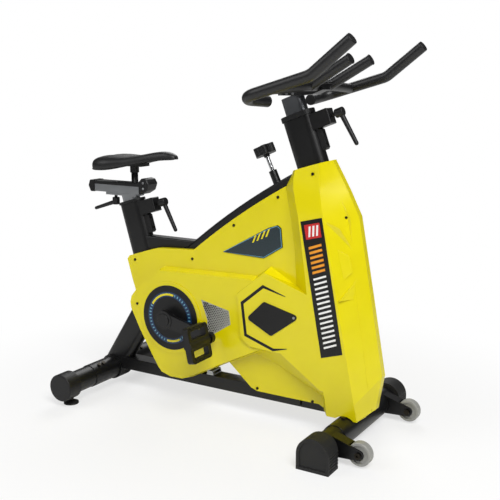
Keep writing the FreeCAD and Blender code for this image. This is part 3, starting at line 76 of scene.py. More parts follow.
world = bpy.data.worlds.new("studio")
world.use_nodes = True
backdrop = world.node_tree.nodes["Background"]
backdrop.inputs["Color"].default_value = hexColour("#FFFFFF")
backdrop.inputs["Strength"].default_value = studio["sky"]
scene.world = world
for lampName, place, width, power in studio["lamps"]:
    lampData = bpy.data.lights.new(lampName, "AREA")
    lampData.size = width
    lampData.energy = power
    lamp = bpy.data.objects.new(lampName, lampData)
    lamp.location = place
    lamp.rotation_euler = (Vector(studio["aim"]) - Vector(place)).to_track_quat("-Z", "Y").to_euler()
    scene.collection.objects.link(lamp)


def addNode(tree, kind, values=None, links=None, **settings):
    node = tree.nodes.new(kind)
    for key, value in settings.items():
        setattr(node, key, value)
    for socket, value in (values or {}).items():
        node.inputs[socket].default_value = value
    for socket, source in (links or {}).items():
        tree.links.new(source, node.inputs[socket])
    return node


ambient = addNode(world.node_tree, "ShaderNodeBackground", {"Strength": studio["ambient"]})
ambient.inputs["Color"].default_value = hexColour("#FFFFFF")
seen = addNode(world.node_tree, "ShaderNodeLightPath")
sky = addNode(world.node_tree, "ShaderNodeMixShader", None,
              {0: seen.outputs["Is Camera Ray"], 1: ambient.outputs[0], 2: backdrop.outputs[0]})
world.node_tree.links.new(sky.outputs[0], world.node_tree.nodes["World Output"].inputs["Surface"])

finishes = {
    # epoxy powder coat on steel: satin, with a fine orange peel
    "satinPowderCoat": {"dark": "#080809", "light": "#0E0E0F", "rough": (0.30, 0.40), "grain": 1.6,
                        "depth": 0.05, "ior": 1.45},
    # injection-moulded ABS, polished tool: deep gloss, almost no texture
    "polishedAbs": {"dark": "#DACB00", "light": "#E3D500", "rough": (0.20, 0.25), "grain": 2.5,
                    "depth": 0.012, "ior": 1.53},
    # injection-moulded polypropylene with a spark-eroded grain, drawn a little coarse
    "grainedPlastic": {"dark": "#060607", "light": "#0B0B0D", "rough": (0.42, 0.55), "grain": 1.0,
                       "depth": 0.06, "ior": 1.45},
    # moulded EPDM rubber: dull, slightly grey where it's handled
    "mouldedRubber": {"dark": "#0E0E0E", "light": "#181817", "rough": (0.60, 0.75), "grain": 1.4,
                      "depth": 0.08, "ior": 1.52},
    # dip-moulded vinyl: soft satin with shallow ripples
    "dippedVinyl": {"dark": "#0C0C0D", "light": "#141416", "rough": (0.36, 0.46), "grain": 2.2,
                    "depth": 0.05, "ior": 1.52},
    # polyurethane leathercloth: pebbled cells about 1.5 mm wide
    "pebbledLeathercloth": {"dark": "#0B0B0C", "light": "#151516", "rough": (0.38, 0.50), "grain": 2.0,
                            "depth": 0.10, "ior": 1.5, "cells": True},
    # bright chrome plate
    "chromePlate": {"dark": "#C9CBCD", "light": "#DADCDE", "rough": (0.06, 0.12), "depth": 0, "metal": True},
    # clear anodised extrusion, drawn lines along its length
    "anodisedAluminium": {"dark": "#9C9FA2", "light": "#B2B4B7", "rough": (0.26, 0.36), "grain": 0.8,
                          "depth": 0.02, "metal": True, "stretch": (1, 1, 0.06)},
    # bead-blasted aluminium, darker where the clamp has rubbed it
    "blastedAluminium": {"dark": "#55575A", "light": "#77797C", "rough": (0.30, 0.42), "grain": 0.8,
                         "depth": 0.03, "metal": True},
    # zinc-plated turned steel
    "zincPlatedSteel": {"dark": "#9A9C9E", "light": "#B6B8BA", "rough": (0.26, 0.36), "grain": 1.0,
                        "depth": 0.02, "metal": True},
    # painted grey iron casting: sandy, dull
    "paintedCastIron": {"dark": "#3A3B3D", "light": "#505154", "rough": (0.45, 0.60), "grain": 1.8,
                        "depth": 0.15, "ior": 1.5},
    # grey polyurethane tread
    "greyPolyurethane": {"dark": "#8E8E89", "light": "#A0A09B", "rough": (0.42, 0.52), "grain": 1.5,
                         "depth": 0.04, "ior": 1.5},
    # screen-printed polycarbonate overlays: even colour under a gloss laminate. The black one is also used
    # for the vent hole discs, as painted shade.
    "blackPrintAndHoleShade": {"dark": "#030303", "light": "#050505", "rough": (0.24, 0.30), "depth": 0, "ior": 1.42},
    "tealPrint": {"dark": "#081E25", "light": "#0C2730", "rough": (0.16, 0.22), "depth": 0, "ior": 1.58},
    # phosphate-blackened steel, for screws and bolts: brownish black, dull
    "blackenedSteel": {"dark": "#2A2722", "light": "#3C3831", "rough": (0.30, 0.42), "grain": 1.0,
                       "depth": 0.02, "metal": True},
    # punched steel mesh behind the cover, painted grey
    "paintedMesh": {"dark": "#8E8E86", "light": "#A8A8A0", "rough": (0.40, 0.50), "grain": 1.2,
                    "depth": 0.03, "ior": 1.5},
}
# screen inks: flat, satin, each with its darkest and lightest tone
inks = {"whitePrint": ("#E6E6E3", "#F0F0EE"), "redPrint": ("#B81A1A", "#C92020"),
        "amberPrint": ("#E08A14", "#EE9A1C"), "bluePrint": ("#0E2A4C", "#15365E"),
        "paleBluePrint": ("#5F9DB4", "#73AFC4"), "yellowPrint": ("#DCCB10", "#E8D818")}
for inkName, (dark, light) in inks.items():
    finishes[inkName] = {"dark": dark, "light": light, "rough": (0.28, 0.34), "depth": 0, "ior": 1.5}


def makeFinish(name, look):
    material = bpy.data.materials.new(name)
    material.use_nodes = True
    tree = material.node_tree
    shader = tree.nodes["Principled BSDF"]
    place = addNode(tree, "ShaderNodeTexCoord")
    stretch = addNode(tree, "ShaderNodeMapping", {"Scale": look.get("stretch", (1, 1, 1))},
                      {"Vector": place.outputs["Object"]})
    cloud = addNode(tree, "ShaderNodeTexNoise", {"Scale": 14.0, "Detail": 3.0},  # patches about 70 mm
                    {"Vector": place.outputs["Object"]})
    tone = addNode(tree, "ShaderNodeMix", {6: hexColour(look["dark"]), 7: hexColour(look["light"])},
                   {0: cloud.outputs["Fac"]}, data_type="RGBA")
    tree.links.new(tone.outputs[2], shader.inputs["Base Color"])
    polish = addNode(tree, "ShaderNodeMapRange", {"To Min": look["rough"][0], "To Max": look["rough"][1]},
                     {"Value": cloud.outputs["Fac"]})
    tree.links.new(polish.outputs["Result"], shader.inputs["Roughness"])
    if look.get("metal"):
        shader.inputs["Metallic"].default_value = 1.0
    else:
        shader.inputs["IOR"].default_value = look["ior"]
    if look["depth"] > 0:
        perMetre = 1000.0 / look["grain"]
        if look.get("cells"):
            grain = addNode(tree, "ShaderNodeTexVoronoi", {"Scale": perMetre},
                            {"Vector": stretch.outputs["Vector"]}, feature="DISTANCE_TO_EDGE")
            height = grain.outputs["Distance"]
        else:
            grain = addNode(tree, "ShaderNodeTexNoise", {"Scale": perMetre, "Detail": 2.0},
                            {"Vector": stretch.outputs["Vector"]})
            height = grain.outputs["Fac"]
        bump = addNode(tree, "ShaderNodeBump", {"Strength": 0.6, "Distance": look["depth"] * mm},
                       {"Height": height})
        tree.links.new(bump.outputs["Normal"], shader.inputs["Normal"])
    return material


finish = {name: makeFinish(name, look) for name, look in finishes.items()}
print("materials made:", len(finish))

floorLook = {"colour": "#F4F4F3", "reach": 30.0, "rough": 0.9,
             "least": 0.62, "fade": (0.55, 1.3)}  # share of plain white at the bike, and where it grows, in m
floorMesh = bpy.data.meshes.new("studioFloor")
reach = floorLook["reach"]
corners = [(-reach, -reach, 0), (reach, -reach, 0), (reach, reach, 0), (-reach, reach, 0)]
floorMesh.from_pydata(corners, [], [(0, 1, 2, 3)])
floor = bpy.data.objects.new("studioFloor", floorMesh)
scene.collection.objects.link(floor)
floorMaterial = bpy.data.materials.new("palePaper")
floorMaterial.use_nodes = True
floorTree = floorMaterial.node_tree
paperShader = floorTree.nodes["Principled BSDF"]
paperShader.inputs["Base Color"].default_value = hexColour(floorLook["colour"])
paperShader.inputs["Roughness"].default_value = floorLook["rough"]
# the paper runs out to plain white, so that no horizon shows
floorPlace = addNode(floorTree, "ShaderNodeTexCoord")
away = addNode(floorTree, "ShaderNodeVectorMath", None, {"Vector": floorPlace.outputs["Object"]},
               operation="LENGTH")
near, far = floorLook["fade"]
fade = addNode(floorTree, "ShaderNodeMapRange",
               {"From Min": near, "From Max": far, "To Min": floorLook["least"], "To Max": 1.0},
               {"Value": away.outputs["Value"]}, interpolation_type="SMOOTHSTEP")
seenFloor = addNode(floorTree, "ShaderNodeLightPath")
share = addNode(floorTree, "ShaderNodeMath", None,
                {0: fade.outputs["Result"], 1: seenFloor.outputs["Is Camera Ray"]}, operation="MULTIPLY")
glow = addNode(floorTree, "ShaderNodeEmission", {"Color": hexColour("#FFFFFF")})
paper = addNode(floorTree, "ShaderNodeMixShader", None,
                {0: share.outputs["Value"], 1: paperShader.outputs[0], 2: glow.outputs[0]})
floorTree.links.new(paper.outputs[0], floorTree.nodes["Material Output"].inputs["Surface"])
floorMesh.materials.append(floorMaterial)


# which finish each CAD node gets, and how far its edges are eased, in mm; 0 keeps the CAD mesh
dressing = {
    "satinPowderCoat": {"front_stabiliser": 0, "rear_stabiliser": 0, "stabiliser_sleeves": 0.8,
                        "floor_beam": 2.0, "seat_tube": 0, "rear_leg": 0, "spine_tube": 0, "head_tube": 0,
                        "front_post": 1.5,
                        "crank_bracket": 0, "flywheel_stands": 0, "clamp_blocks": 0, "handlebar_stem": 0.8,
                        "crank_arms": 0.8, "brake_sleeve": 0},
    "grainedPlastic": {"rear_end_caps": 0, "tube_bushes": 0.8, "guide_strips": 0.8, "rail_cover_strip": 0.8,
                       "rail_end_blocks": 1.2, "seat_height_lever": 0, "bar_height_lever": 0, "rail_lever": 0,
                       "bar_end_plugs": 0, "drive_pulley": 0, "pedal_right": 0.8, "pedal_left": 0.8,
                       "brake_knob": 4.0, "crank_discs": 0.8, "access_covers": 0.6},
    "mouldedRubber": {"front_foot_caps": 0.8, "levelling_foot_right": 0, "levelling_foot_left": 0,
                      "drive_belt": 0, "brake_shoe": 0},
    "polishedAbs": {"side_cover_right": 1.2, "side_cover_left": 1.2},
    "blackenedSteel": {"cover_screws": 0, "frame_fasteners": 0},
    "chromePlate": {"rail_bolts": 0, "saddle_stem": 0.3, "stem_bolts": 0,
                    "brake_rod": 0},
    "anodisedAluminium": {"seat_rail": 0.6, "seat_post": 0},
    "blastedAluminium": {"handlebar_post": 0},
    "zincPlatedSteel": {"cover_bracket": 0, "bearings": 0, "crank_spindle": 0, "pedal_axles": 0,
                        "flywheel_axle": 0},
    "paintedCastIron": {"flywheel": 0},
    "greyPolyurethane": {"transport_wheel_right": 0, "transport_wheel_left": 0},
    "dippedVinyl": {"outer_bar_right": 0, "outer_bar_left": 0, "cross_bar": 0},
    "blackPrintAndHoleShade": {"nameplates": 0},
    "paintedMesh": {"vent_meshes": 0},
    "pebbledLeathercloth": {"saddle": 0},
}


easing = {"join": 0.01, "flat": 0.4, "segments": 2, "coverAngle": 20, "angle": 35}  # mm and degrees


def easedCopy(name, width, material):
    # the node's own mesh with its facets joined up and its hard edges rounded
    shape = bmesh.new()
    shape.from_mesh(nodes[name].data)
    bmesh.ops.remove_doubles(shape, verts=shape.verts, dist=easing["join"] * mm)
    bmesh.ops.dissolve_limit(shape, angle_limit=math.radians(easing["flat"]), verts=shape.verts,
                             edges=shape.edges)
    mesh = bpy.data.meshes.new(name + "Eased")
    shape.to_mesh(mesh)
    shape.free()
    for layer in ("custom_normal", "sharp_face", "sharp_edge"):
        if mesh.attributes.get(layer):
            mesh.attributes.remove(mesh.attributes[layer])
    mesh.materials.clear()
    mesh.materials.append(material)
    mesh.shade_smooth()
    piece = bpy.data.objects.new(name + "Eased", mesh)
    scene.collection.objects.link(piece)
    bevel = piece.modifiers.new("easedEdges", "BEVEL")
    bevel.width = width * mm
    bevel.segments = easing["segments"]
    bevel.limit_method = "ANGLE"
    bevel.angle_limit = math.radians(easing["coverAngle"] if "cover" in name else easing["angle"])
    weight = piece.modifiers.new("flatFaces", "WEIGHTED_NORMAL")
    weight.keep_sharp = True
    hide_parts(name)
    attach(piece, bodyOf[name])
    return piece


for finishName, group in dressing.items():
    for name, width in group.items():
        if width > 0:
            easedCopy(name, width, finish[finishName])
        else:
            data = nodes[name].data
            data.materials.clear()
            data.materials.append(finish[finishName])
# the saddle's clamp is black moulding over the chrome post
stemClamp = {"bottom": 718}  # mm above the floor
stemPiece = bpy.data.objects["saddle_stemEased"]
stemPiece.data.materials.append(finish["grainedPlastic"])
for face in stemPiece.data.polygons:
    if face.center.z > stemClamp["bottom"] * mm:
        face.material_index = 1
print("nodes dressed:", sum(len(group) for group in dressing.values()))


def skinOf(name):
    data = nodes[name].data
    return BVHTree.FromPolygons([v.co.copy() for v in data.vertices],
                                [list(p.vertices) for p in data.polygons])


def addPiece(name, shape, material, body):
    bmesh.ops.recalc_face_normals(shape, faces=shape.faces)
    mesh = bpy.data.meshes.new(name)
    shape.to_mesh(mesh)
    shape.free()
    mesh.materials.append(material)
    piece = bpy.data.objects.new(name, mesh)
    scene.collection.objects.link(piece)
    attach(piece, body)
    return piece


def onSkin(skin, x, z):
    # the cover's outer skin at (X, Z), reached from 0.3 m out on the right-hand side
    return skin.ray_cast(Vector((x * mm, -0.3, z * mm)), Vector((0, 1, 0)))[:2]


def plateOn(shape, skin, outline, lift, sink=0.4):
    # a thin plate on a cover's skin; outline is (X, Z) in mm on the right-hand side, with a corner's
    # own lift if one is given
    lower, upper = [], []
    for x, z, *own in outline:
        place, normal = onSkin(skin, x, z)
        if place is None:
            return
        lower.append(place - normal * sink * mm)
        upper.append(place + normal * (own[0] if own else lift) * mm)
    for flip in (1, -1):
        base = [shape.verts.new((p.x, p.y * flip, p.z)) for p in lower]
        top = [shape.verts.new((p.x, p.y * flip, p.z)) for p in upper]
        count = len(base)
        shape.faces.new(base)
        shape.faces.new(top)
        for i in range(count):
            shape.faces.new((base[i], base[(i + 1) % count], top[(i + 1) % count], top[i]))


def ribbon(points, widths, closed=False):
    # quads along a path, each a small outline for plateOn
    path = [Vector(p) for p in points]
    count = len(path)
    sides = []
    for i, point in enumerate(path):
        before = path[i - 1] if (i > 0 or closed) else path[i]
        after = path[(i + 1) % count] if (i < count - 1 or closed) else path[i]
        along = (after - before).normalized()
        across = Vector((-along.y, along.x)) * widths[i] / 2
        sides.append((point + across, point - across))
    last = count if closed else count - 1
    quads = []
    for i in range(last):
        here, there = sides[i], sides[(i + 1) % count]
        quads.append([tuple(here[0]), tuple(here[1]), tuple(there[1]), tuple(there[0])])
    return quads


coverSkin = skinOf("side_cover_right")
plateSkin = skinOf("nameplates")

# black feature line round the diamond
sweepLine = {"path": [(231, 413), (156, 434), (84, 375), (96, 278), (191, 247), (237, 257)],
             "widths": [1.5, 10, 11, 11, 9, 1.5], "lift": 0.5}
shape = bmesh.new()
for outline in ribbon(sweepLine["path"], sweepLine["widths"]):
    plateOn(shape, coverSkin, outline, sweepLine["lift"])
addPiece("sweepLine", shape, finish["grainedPlastic"], "frame")

# raised facets moulded on the nose of each cover
noseRelief = {"lift": 1.0, "edge": 0.7, "facets": [
    [(351, 641, 0.4), (381, 623, 9.0), (417, 561, 0.4)],
    [(378, 697, 0.4), (405, 644, 7.0), (414, 575, 0.4), (394, 617, 0.4)],
    [(385, 563, 0.4), (410, 545, 7.0), (420, 501, 7.0), (404, 479, 0.4)],
    [(432, 481, 0.4), (396, 421, 9.0), (428, 424, 0.4)],
    [(426, 478), (433, 478), (486, 192), (478, 172)]]}
shape = bmesh.new()
for outline in noseRelief["facets"]:
    plateOn(shape, coverSkin, outline, noseRelief["lift"])
relief = addPiece("noseRelief", shape, finish["polishedAbs"], "frame")
soften = relief.modifiers.new("easedEdges", "BEVEL")
soften.width = noseRelief["edge"] * mm
soften.segments = easing["segments"]

# small pan-head screws on the nose facet and at the diamond's tip
panScrews = {"radius": 4.2, "taper": 0.7, "height": 2.0, "stand": 0.4, "places": [
    ("coverScrewNose", "side_cover_right", 396, 651, "blackenedSteel"),
    ("coverScrewDiamond", "access_covers", 259, 354, "zincPlatedSteel")]}
for screwName, onNode, x, z, finishName in panScrews["places"]:
    place, normal = onSkin(skinOf(onNode), x, z)
    turn = normal.to_track_quat("Z", "Y").to_matrix().to_4x4()
    radius, height = panScrews["radius"] * mm, panScrews["height"] * mm
    shape = bmesh.new()
    for flip in (1, -1):
        head = bmesh.ops.create_cone(shape, cap_ends=True, segments=20, radius1=radius,
                                     radius2=radius * panScrews["taper"], depth=height)["verts"]
        bmesh.ops.transform(shape, verts=head, matrix=turn)
        bmesh.ops.translate(shape, verts=head, vec=place + normal * height * panScrews["stand"])
        for vertex in head:
            vertex.co.y *= flip
    addPiece(screwName, shape, finish[finishName], "frame")

# unlettered graphics: a light rule round the badge, with slanted bars in it
badge = {"outline": [(-8, 514), (150, 601), (182, 612), (194, 604), (199, 548), (136, 509)],
         "inset": 3.5, "rule": 1.6, "lift": 0.4, "fieldLift": 0.15, "fieldInset": 1.5,
         "fieldMiddle": (120, 570), "bars": 6, "firstBar": (66, 538), "barStep": (15, 7),
         "bar": [(0, 0), (6, 2), (16, 26), (10, 24)]}
shape = bmesh.new()
aim = Vector(badge["fieldMiddle"])
field = [tuple(Vector(p) + (aim - Vector(p)).normalized() * badge["fieldInset"]) for p in badge["outline"]]
plateOn(shape, plateSkin, field, badge["fieldLift"])
addPiece("badgeField", shape, finish["tealPrint"], "frame")
middle = sum((Vector(p) for p in badge["outline"]), Vector((0, 0))) / len(badge["outline"])
rule = [Vector(p) + (middle - Vector(p)).normalized() * badge["inset"] for p in badge["outline"]]
shape = bmesh.new()
for outline in ribbon(rule, [badge["rule"]] * len(rule), closed=True):
    plateOn(shape, plateSkin, outline, badge["lift"])
addPiece("badgeRule", shape, finish["paleBluePrint"], "frame")
shape = bmesh.new()
for i in range(badge["bars"]):
    x, z = [start + i * step for start, step in zip(badge["firstBar"], badge["barStep"])]
    plateOn(shape, plateSkin, [(x + a, z + b) for a, b in badge["bar"]], badge["lift"])
addPiece("badgeBars", shape, finish["yellowPrint"], "frame")

# unlettered graphics down the nose label
label = {"corners": [(277, 636), (343, 652), (414, 269), (348, 249)], "lift": 0.3,
         "block": [(0.03, 0.14), (0.03, 0.86), (0.135, 0.86), (0.135, 0.14)],
         "slash": [(0.12, 0), (0.12, 0.09), (0.045, 0.18), (0.045, 0.09)], "slashes": 3, "slashFrom": 0.26,
         "slashStep": 0.18, "slashLift": 0.6,
         "step": 0.036, "white": (15, 0.42, 0.014, 0.004), "warm": (6, 0.19, 0.018, 0.008)}


def onLabel(s, t):
    # a point on the label: s runs down it, t across it
    a, b, c, d = [Vector(p) for p in label["corners"]]
    return tuple(a.lerp(d, s).lerp(b.lerp(c, s), t))


def crossStripes(shape, count, start, left, right):
    for i in range(count):
        s = start + i * label["step"]
        plateOn(shape, plateSkin, [onLabel(s, 0.2), onLabel(s + left, 0.2), onLabel(s + right, 0.8),
                                   onLabel(s - 0.01, 0.8)], label["lift"])


emblem = bmesh.new()
plateOn(emblem, plateSkin, [onLabel(s, t) for s, t in label["block"]], label["lift"])
addPiece("labelBlock", emblem, finish["redPrint"], "frame")
stripes = bmesh.new()
for i in range(label["slashes"]):
    across = label["slashFrom"] + label["slashStep"] * i
    plateOn(stripes, plateSkin, [onLabel(s, across + t) for s, t in label["slash"]], label["slashLift"])
crossStripes(stripes, *label["white"])
addPiece("labelStripes", stripes, finish["whitePrint"], "frame")
warm = bmesh.new()
crossStripes(warm, *label["warm"])
addPiece("labelWarmStripes", warm, finish["amberPrint"], "frame")
print("cover graphics laid on")

# printed rings on the crank discs
crankDisc = {"x": -185.0, "z": 290.0, "face": 79.0, "lift": 0.35, "band": (68.0, 84.0), "bandSteps": 96,
             "dashes": 44, "dashRadius": 76.0, "dash": (3.4, 7.0, 0.3),  # wide, long and thick
             "arcs": [(78, 150), (262, 300)], "arcBand": (72.3, 78.7), "arcSteps": 30, "arcLift": 0.5}


def annulus(shape, inner, outer, start, end, steps, height, face):
    for flip in (-1, 1):
        rows = []
        for i in range(steps + 1):
            angle = math.radians(start + (end - start) * i / steps)
            row = []
            for radius in (inner, outer):
                x = crankDisc["x"] + radius * math.cos(angle)
                z = crankDisc["z"] + radius * math.sin(angle)
                row += [shape.verts.new((x * mm, flip * y * mm, z * mm)) for y in (face, face + height)]
            rows.append(row)
        for a, b in zip(rows, rows[1:]):
            for i, j in ((0, 1), (1, 3), (3, 2), (2, 0)):
                shape.faces.new((a[i], a[j], b[j], b[i]))
        if abs(end - start) < 360:
            for row in (rows[0], rows[-1]):
                shape.faces.new((row[0], row[1], row[3], row[2]))


shape = bmesh.new()
annulus(shape, *crankDisc["band"], 0, 360, crankDisc["bandSteps"], crankDisc["lift"], crankDisc["face"])
bmesh.ops.remove_doubles(shape, verts=shape.verts, dist=0.001 * mm)
addPiece("discBand", shape, finish["bluePrint"], "frame")
shape = bmesh.new()
for start, end in crankDisc["arcs"]:
    annulus(shape, *crankDisc["arcBand"], start, end, crankDisc["arcSteps"], crankDisc["arcLift"],
            crankDisc["face"] + crankDisc["lift"])
addPiece("discArcs", shape, finish["yellowPrint"], "frame")


def newTree(name, inputs):
    tree = bpy.data.node_groups.new(name, "GeometryNodeTree")
    tree.interface.new_socket("Geometry", in_out="INPUT", socket_type="NodeSocketGeometry")
    for socketName, kind in inputs:
        tree.interface.new_socket(socketName, in_out="INPUT", socket_type=kind)
    tree.interface.new_socket("Geometry", in_out="OUTPUT", socket_type="NodeSocketGeometry")
    return tree, addNode(tree, "NodeGroupInput"), addNode(tree, "NodeGroupOutput")


def growPiece(name, baseMesh, tree, values, body):
    # run a tree on a base mesh and keep the result as a plain mesh
    base = bpy.data.objects.new(name + "Base", baseMesh)
    scene.collection.objects.link(base)
    maker = base.modifiers.new("maker", "NODES")
    maker.node_group = tree
    for item in tree.interface.items_tree:
        if item.in_out == "INPUT" and item.name in values:
            maker[item.identifier] = values[item.name]
    graph = bpy.context.evaluated_depsgraph_get()
    mesh = bpy.data.meshes.new_from_object(base.evaluated_get(graph))
    mesh.name = name
    bpy.data.objects.remove(base)
    piece = bpy.data.objects.new(name, mesh)
    scene.collection.objects.link(piece)
    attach(piece, body)
    return piece


# white dashes round the disc, one small slab for each
dashTree, given, made = newTree("dashRing", [
    ("Count", "NodeSocketInt"), ("Radius", "NodeSocketFloat"), ("Dash Width", "NodeSocketFloat"),
    ("Dash Length", "NodeSocketFloat"), ("Dash Thickness", "NodeSocketFloat"),
    ("Finish", "NodeSocketMaterial")])
ring = addNode(dashTree, "GeometryNodeMeshCircle", None,
               {"Vertices": given.outputs["Count"], "Radius": given.outputs["Radius"]})
lie = addNode(dashTree, "ShaderNodeCombineXYZ", None,
              {"X": given.outputs["Dash Width"], "Y": given.outputs["Dash Length"],
               "Z": given.outputs["Dash Thickness"]})
slab = addNode(dashTree, "GeometryNodeMeshCube", None, {"Size": lie.outputs["Vector"]})
at = addNode(dashTree, "GeometryNodeInputPosition")
turned = addNode(dashTree, "FunctionNodeAlignRotationToVector", None, {"Vector": at.outputs["Position"]},
                 axis="Y", pivot_axis="Z")
dots = addNode(dashTree, "GeometryNodeInstanceOnPoints", None,
               {"Points": ring.outputs["Mesh"], "Instance": slab.outputs["Mesh"],
                "Rotation": turned.outputs["Rotation"]})
solid = addNode(dashTree, "GeometryNodeRealizeInstances", None, {"Geometry": dots.outputs["Instances"]})
painted = addNode(dashTree, "GeometryNodeSetMaterial", None,
                  {"Geometry": solid.outputs["Geometry"], "Material": given.outputs["Finish"]})
dashTree.links.new(painted.outputs["Geometry"], made.inputs["Geometry"])
wide, long, thick = crankDisc["dash"]
for sideName, flip in (("Right", -1), ("Left", 1)):
    dashes = growPiece("discDashes" + sideName, bpy.data.meshes.new("empty"), dashTree,
                       {"Count": crankDisc["dashes"], "Radius": crankDisc["dashRadius"] * mm,
                        "Dash Width": wide * mm, "Dash Length": long * mm, "Dash Thickness": thick * mm,
                        "Finish": finish["paleBluePrint"]}, "frame")
    level = flip * (crankDisc["face"] + crankDisc["lift"] + thick / 2) * mm
    for vertex in dashes.data.vertices:
        x, y, z = vertex.co
        vertex.co = (crankDisc["x"] * mm + x, level + z, crankDisc["z"] * mm + y)
print("disc printed")

# black discs on the vent panels: painted shade standing for the dark inside seen through the punched holes;
# the discs are drawn larger towards the upper rear, so the panel is darker there
ventPanel = {"pitch": 6.4, "hole": 2.1, "margin": 3.0,  # coarser than real mesh, so that it shows
             "face": 73.5, "lift": 0.08, "corner": (-70, 255), "farCorner": (42, 368),
             "outline": [(-68, 364), (33, 342), (39, 300), (-20, 262), (-50, 258), (-45, 300)],
             "slant": (1.0, 0.0, -0.55), "reach": (-0.262, -0.13), "sizes": (1.64, 0.66)}
ventTree, given, made = newTree("holeShadeDiscs", [
    ("Hole", "NodeSocketFloat"), ("Slant", "NodeSocketVector"), ("Slant Start", "NodeSocketFloat"),
    ("Slant End", "NodeSocketFloat"), ("Size Start", "NodeSocketFloat"), ("Size End", "NodeSocketFloat"),
    ("Finish", "NodeSocketMaterial")])
spot = addNode(ventTree, "GeometryNodeInputPosition")
slope = addNode(ventTree, "ShaderNodeVectorMath", None,
                {0: spot.outputs["Position"], 1: given.outputs["Slant"]}, operation="DOT_PRODUCT")
# disc size along the slant: larger discs, so more painted shade, towards the upper rear
shrink = addNode(ventTree, "ShaderNodeMapRange", None,
                 {"Value": slope.outputs["Value"], "From Min": given.outputs["Slant Start"],
                  "From Max": given.outputs["Slant End"], "To Min": given.outputs["Size Start"],
                  "To Max": given.outputs["Size End"]})
# each hole is a flat black disc on the panel, painted shade in place of a real opening
disc = addNode(ventTree, "GeometryNodeMeshCircle", {"Vertices": 6}, {"Radius": given.outputs["Hole"]},
               fill_type="NGON")
dots = addNode(ventTree, "GeometryNodeInstanceOnPoints", {"Rotation": (math.pi / 2, 0, 0)},
               {"Points": given.outputs["Geometry"], "Instance": disc.outputs["Mesh"],
                "Scale": shrink.outputs["Result"]})
solid = addNode(ventTree, "GeometryNodeRealizeInstances", None, {"Geometry": dots.outputs["Instances"]})
painted = addNode(ventTree, "GeometryNodeSetMaterial", None,
                  {"Geometry": solid.outputs["Geometry"], "Material": given.outputs["Finish"]})
ventTree.links.new(painted.outputs["Geometry"], made.inputs["Geometry"])


def insideOutline(x, z, outline, margin):
    inside = False
    for i in range(len(outline)):
        (ax, az), (bx, bz) = outline[i - 1], outline[i]
        if (az > z) != (bz > z) and x < ax + (z - az) * (bx - ax) / (bz - az):
            inside = not inside
        edge = Vector((bx - ax, bz - az))
        t = max(0, min(1, (Vector((x - ax, z - az)).dot(edge)) / edge.length_squared))
        if (Vector((x - ax, z - az)) - edge * t).length < margin:
            return False
    return inside


for sideName, flip in (("Right", -1), ("Left", 1)):
    places = []
    row = 0
    z = ventPanel["corner"][1]
    while z < ventPanel["farCorner"][1]:
        x = ventPanel["corner"][0] + (row % 2) * ventPanel["pitch"] / 2
        while x < ventPanel["farCorner"][0]:
            if insideOutline(x, z, ventPanel["outline"], ventPanel["margin"]):
                places.append((x * mm, flip * (ventPanel["face"] + ventPanel["lift"]) * mm, z * mm))
            x += ventPanel["pitch"]
        z += ventPanel["pitch"] * 0.866  # rows of a triangular grid
        row += 1
    points = bpy.data.meshes.new("ventPoints")
    points.from_pydata(places, [], [])
    # the black discs are painted shade for the inside seen through the holes
    growPiece("ventHoleShade" + sideName, points, ventTree,
              {"Hole": ventPanel["hole"] * mm, "Slant": ventPanel["slant"],
               "Slant Start": ventPanel["reach"][0], "Slant End": ventPanel["reach"][1],
               "Size Start": ventPanel["sizes"][0], "Size End": ventPanel["sizes"][1],
               "Finish": finish["blackPrintAndHoleShade"]}, "frame")
print("vents punched")

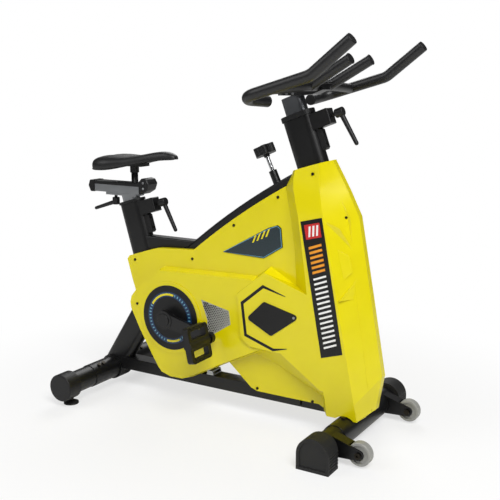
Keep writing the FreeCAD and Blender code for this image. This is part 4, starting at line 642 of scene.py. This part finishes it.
# saddle: foam under leathercloth on a moulded pan
saddle = {"levels": 2, "seam": 1.0, "weltAt": 0.985, "weltUp": 3.0,
          "channel": (-480, -330), "deep": 2.5, "shallow": 0.5,  # relief down the middle
          # X, half width, top, edge, underside, all in mm
          "stations": [(-497, 60, 771, 760, 746), (-489, 78, 781, 764, 741), (-466, 88, 788, 766, 740),
                       (-430, 89, 790, 767, 742), (-396, 77, 789, 769, 748), (-360, 56, 788, 772, 757),
                       (-325, 38, 794, 777, 765), (-290, 28, 801, 782, 772), (-255, 24, 806, 787, 777),
                       (-227, 21, 804, 787, 779), (-205, 13, 794, 785, 780)]}
shape = bmesh.new()
rings = []
for x, half, top, edge, under in saddle["stations"]:
    rear, front = saddle["channel"]
    dip = saddle["deep"] if rear < x < front else saddle["shallow"]
    profile = [(0, top - dip), (0.28, top), (0.62, top - 2.5), (0.88, (top * 2 + edge) / 3), (1.0, edge),
               (1.0, (edge + under) / 2), (0.96, under), (0.80, under + 1), (0.72, under + 6),
               (0.0, under + 6)]  # share of the half width, and height
    loop = [(x, half * w, h) for w, h in profile] + [(x, -half * w, h) for w, h in profile[-2:0:-1]]
    rings.append([shape.verts.new((a * mm, b * mm, c * mm)) for a, b, c in loop])
for a, b in zip(rings, rings[1:]):
    for i in range(len(a)):
        j = (i + 1) % len(a)
        shape.faces.new((a[i], a[j], b[j], b[i]))
for end in (rings[0], rings[-1]):
    centre = shape.verts.new(sum((v.co for v in end), Vector()) / len(end))
    for i in range(len(end)):
        shape.faces.new((end[i], end[(i + 1) % len(end)], centre))
cushion = addPiece("saddleCushion", shape, finish["pebbledLeathercloth"], bodyOf["saddle"])
cushion.data.shade_smooth()
foam = cushion.modifiers.new("foam", "SUBSURF")
foam.levels = saddle["levels"]
foam.render_levels = saddle["levels"]
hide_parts("saddle")

# piped welt round the saddle's edge
weltPath = [Vector((x * mm, half * saddle["weltAt"] * mm, (under + saddle["weltUp"]) * mm))
            for x, half, top, edge, under in saddle["stations"]]
weltPath += [Vector((p.x, -p.y, p.z)) for p in reversed(weltPath)]
curve = bpy.data.curves.new("welt", "CURVE")
curve.dimensions = "3D"
line = curve.splines.new("NURBS")
line.points.add(len(weltPath) - 1)
for point, place in zip(line.points, weltPath):
    point.co = (*place, 1.0)
line.order_u = 4
line.use_cyclic_u = True
curve.bevel_depth = saddle["seam"] * mm
curve.bevel_resolution = 3
welt = bpy.data.objects.new("saddleWelt", curve)
scene.collection.objects.link(welt)
curve.materials.append(finish["grainedPlastic"])
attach(welt, bodyOf["saddle"])
print("saddle upholstered")
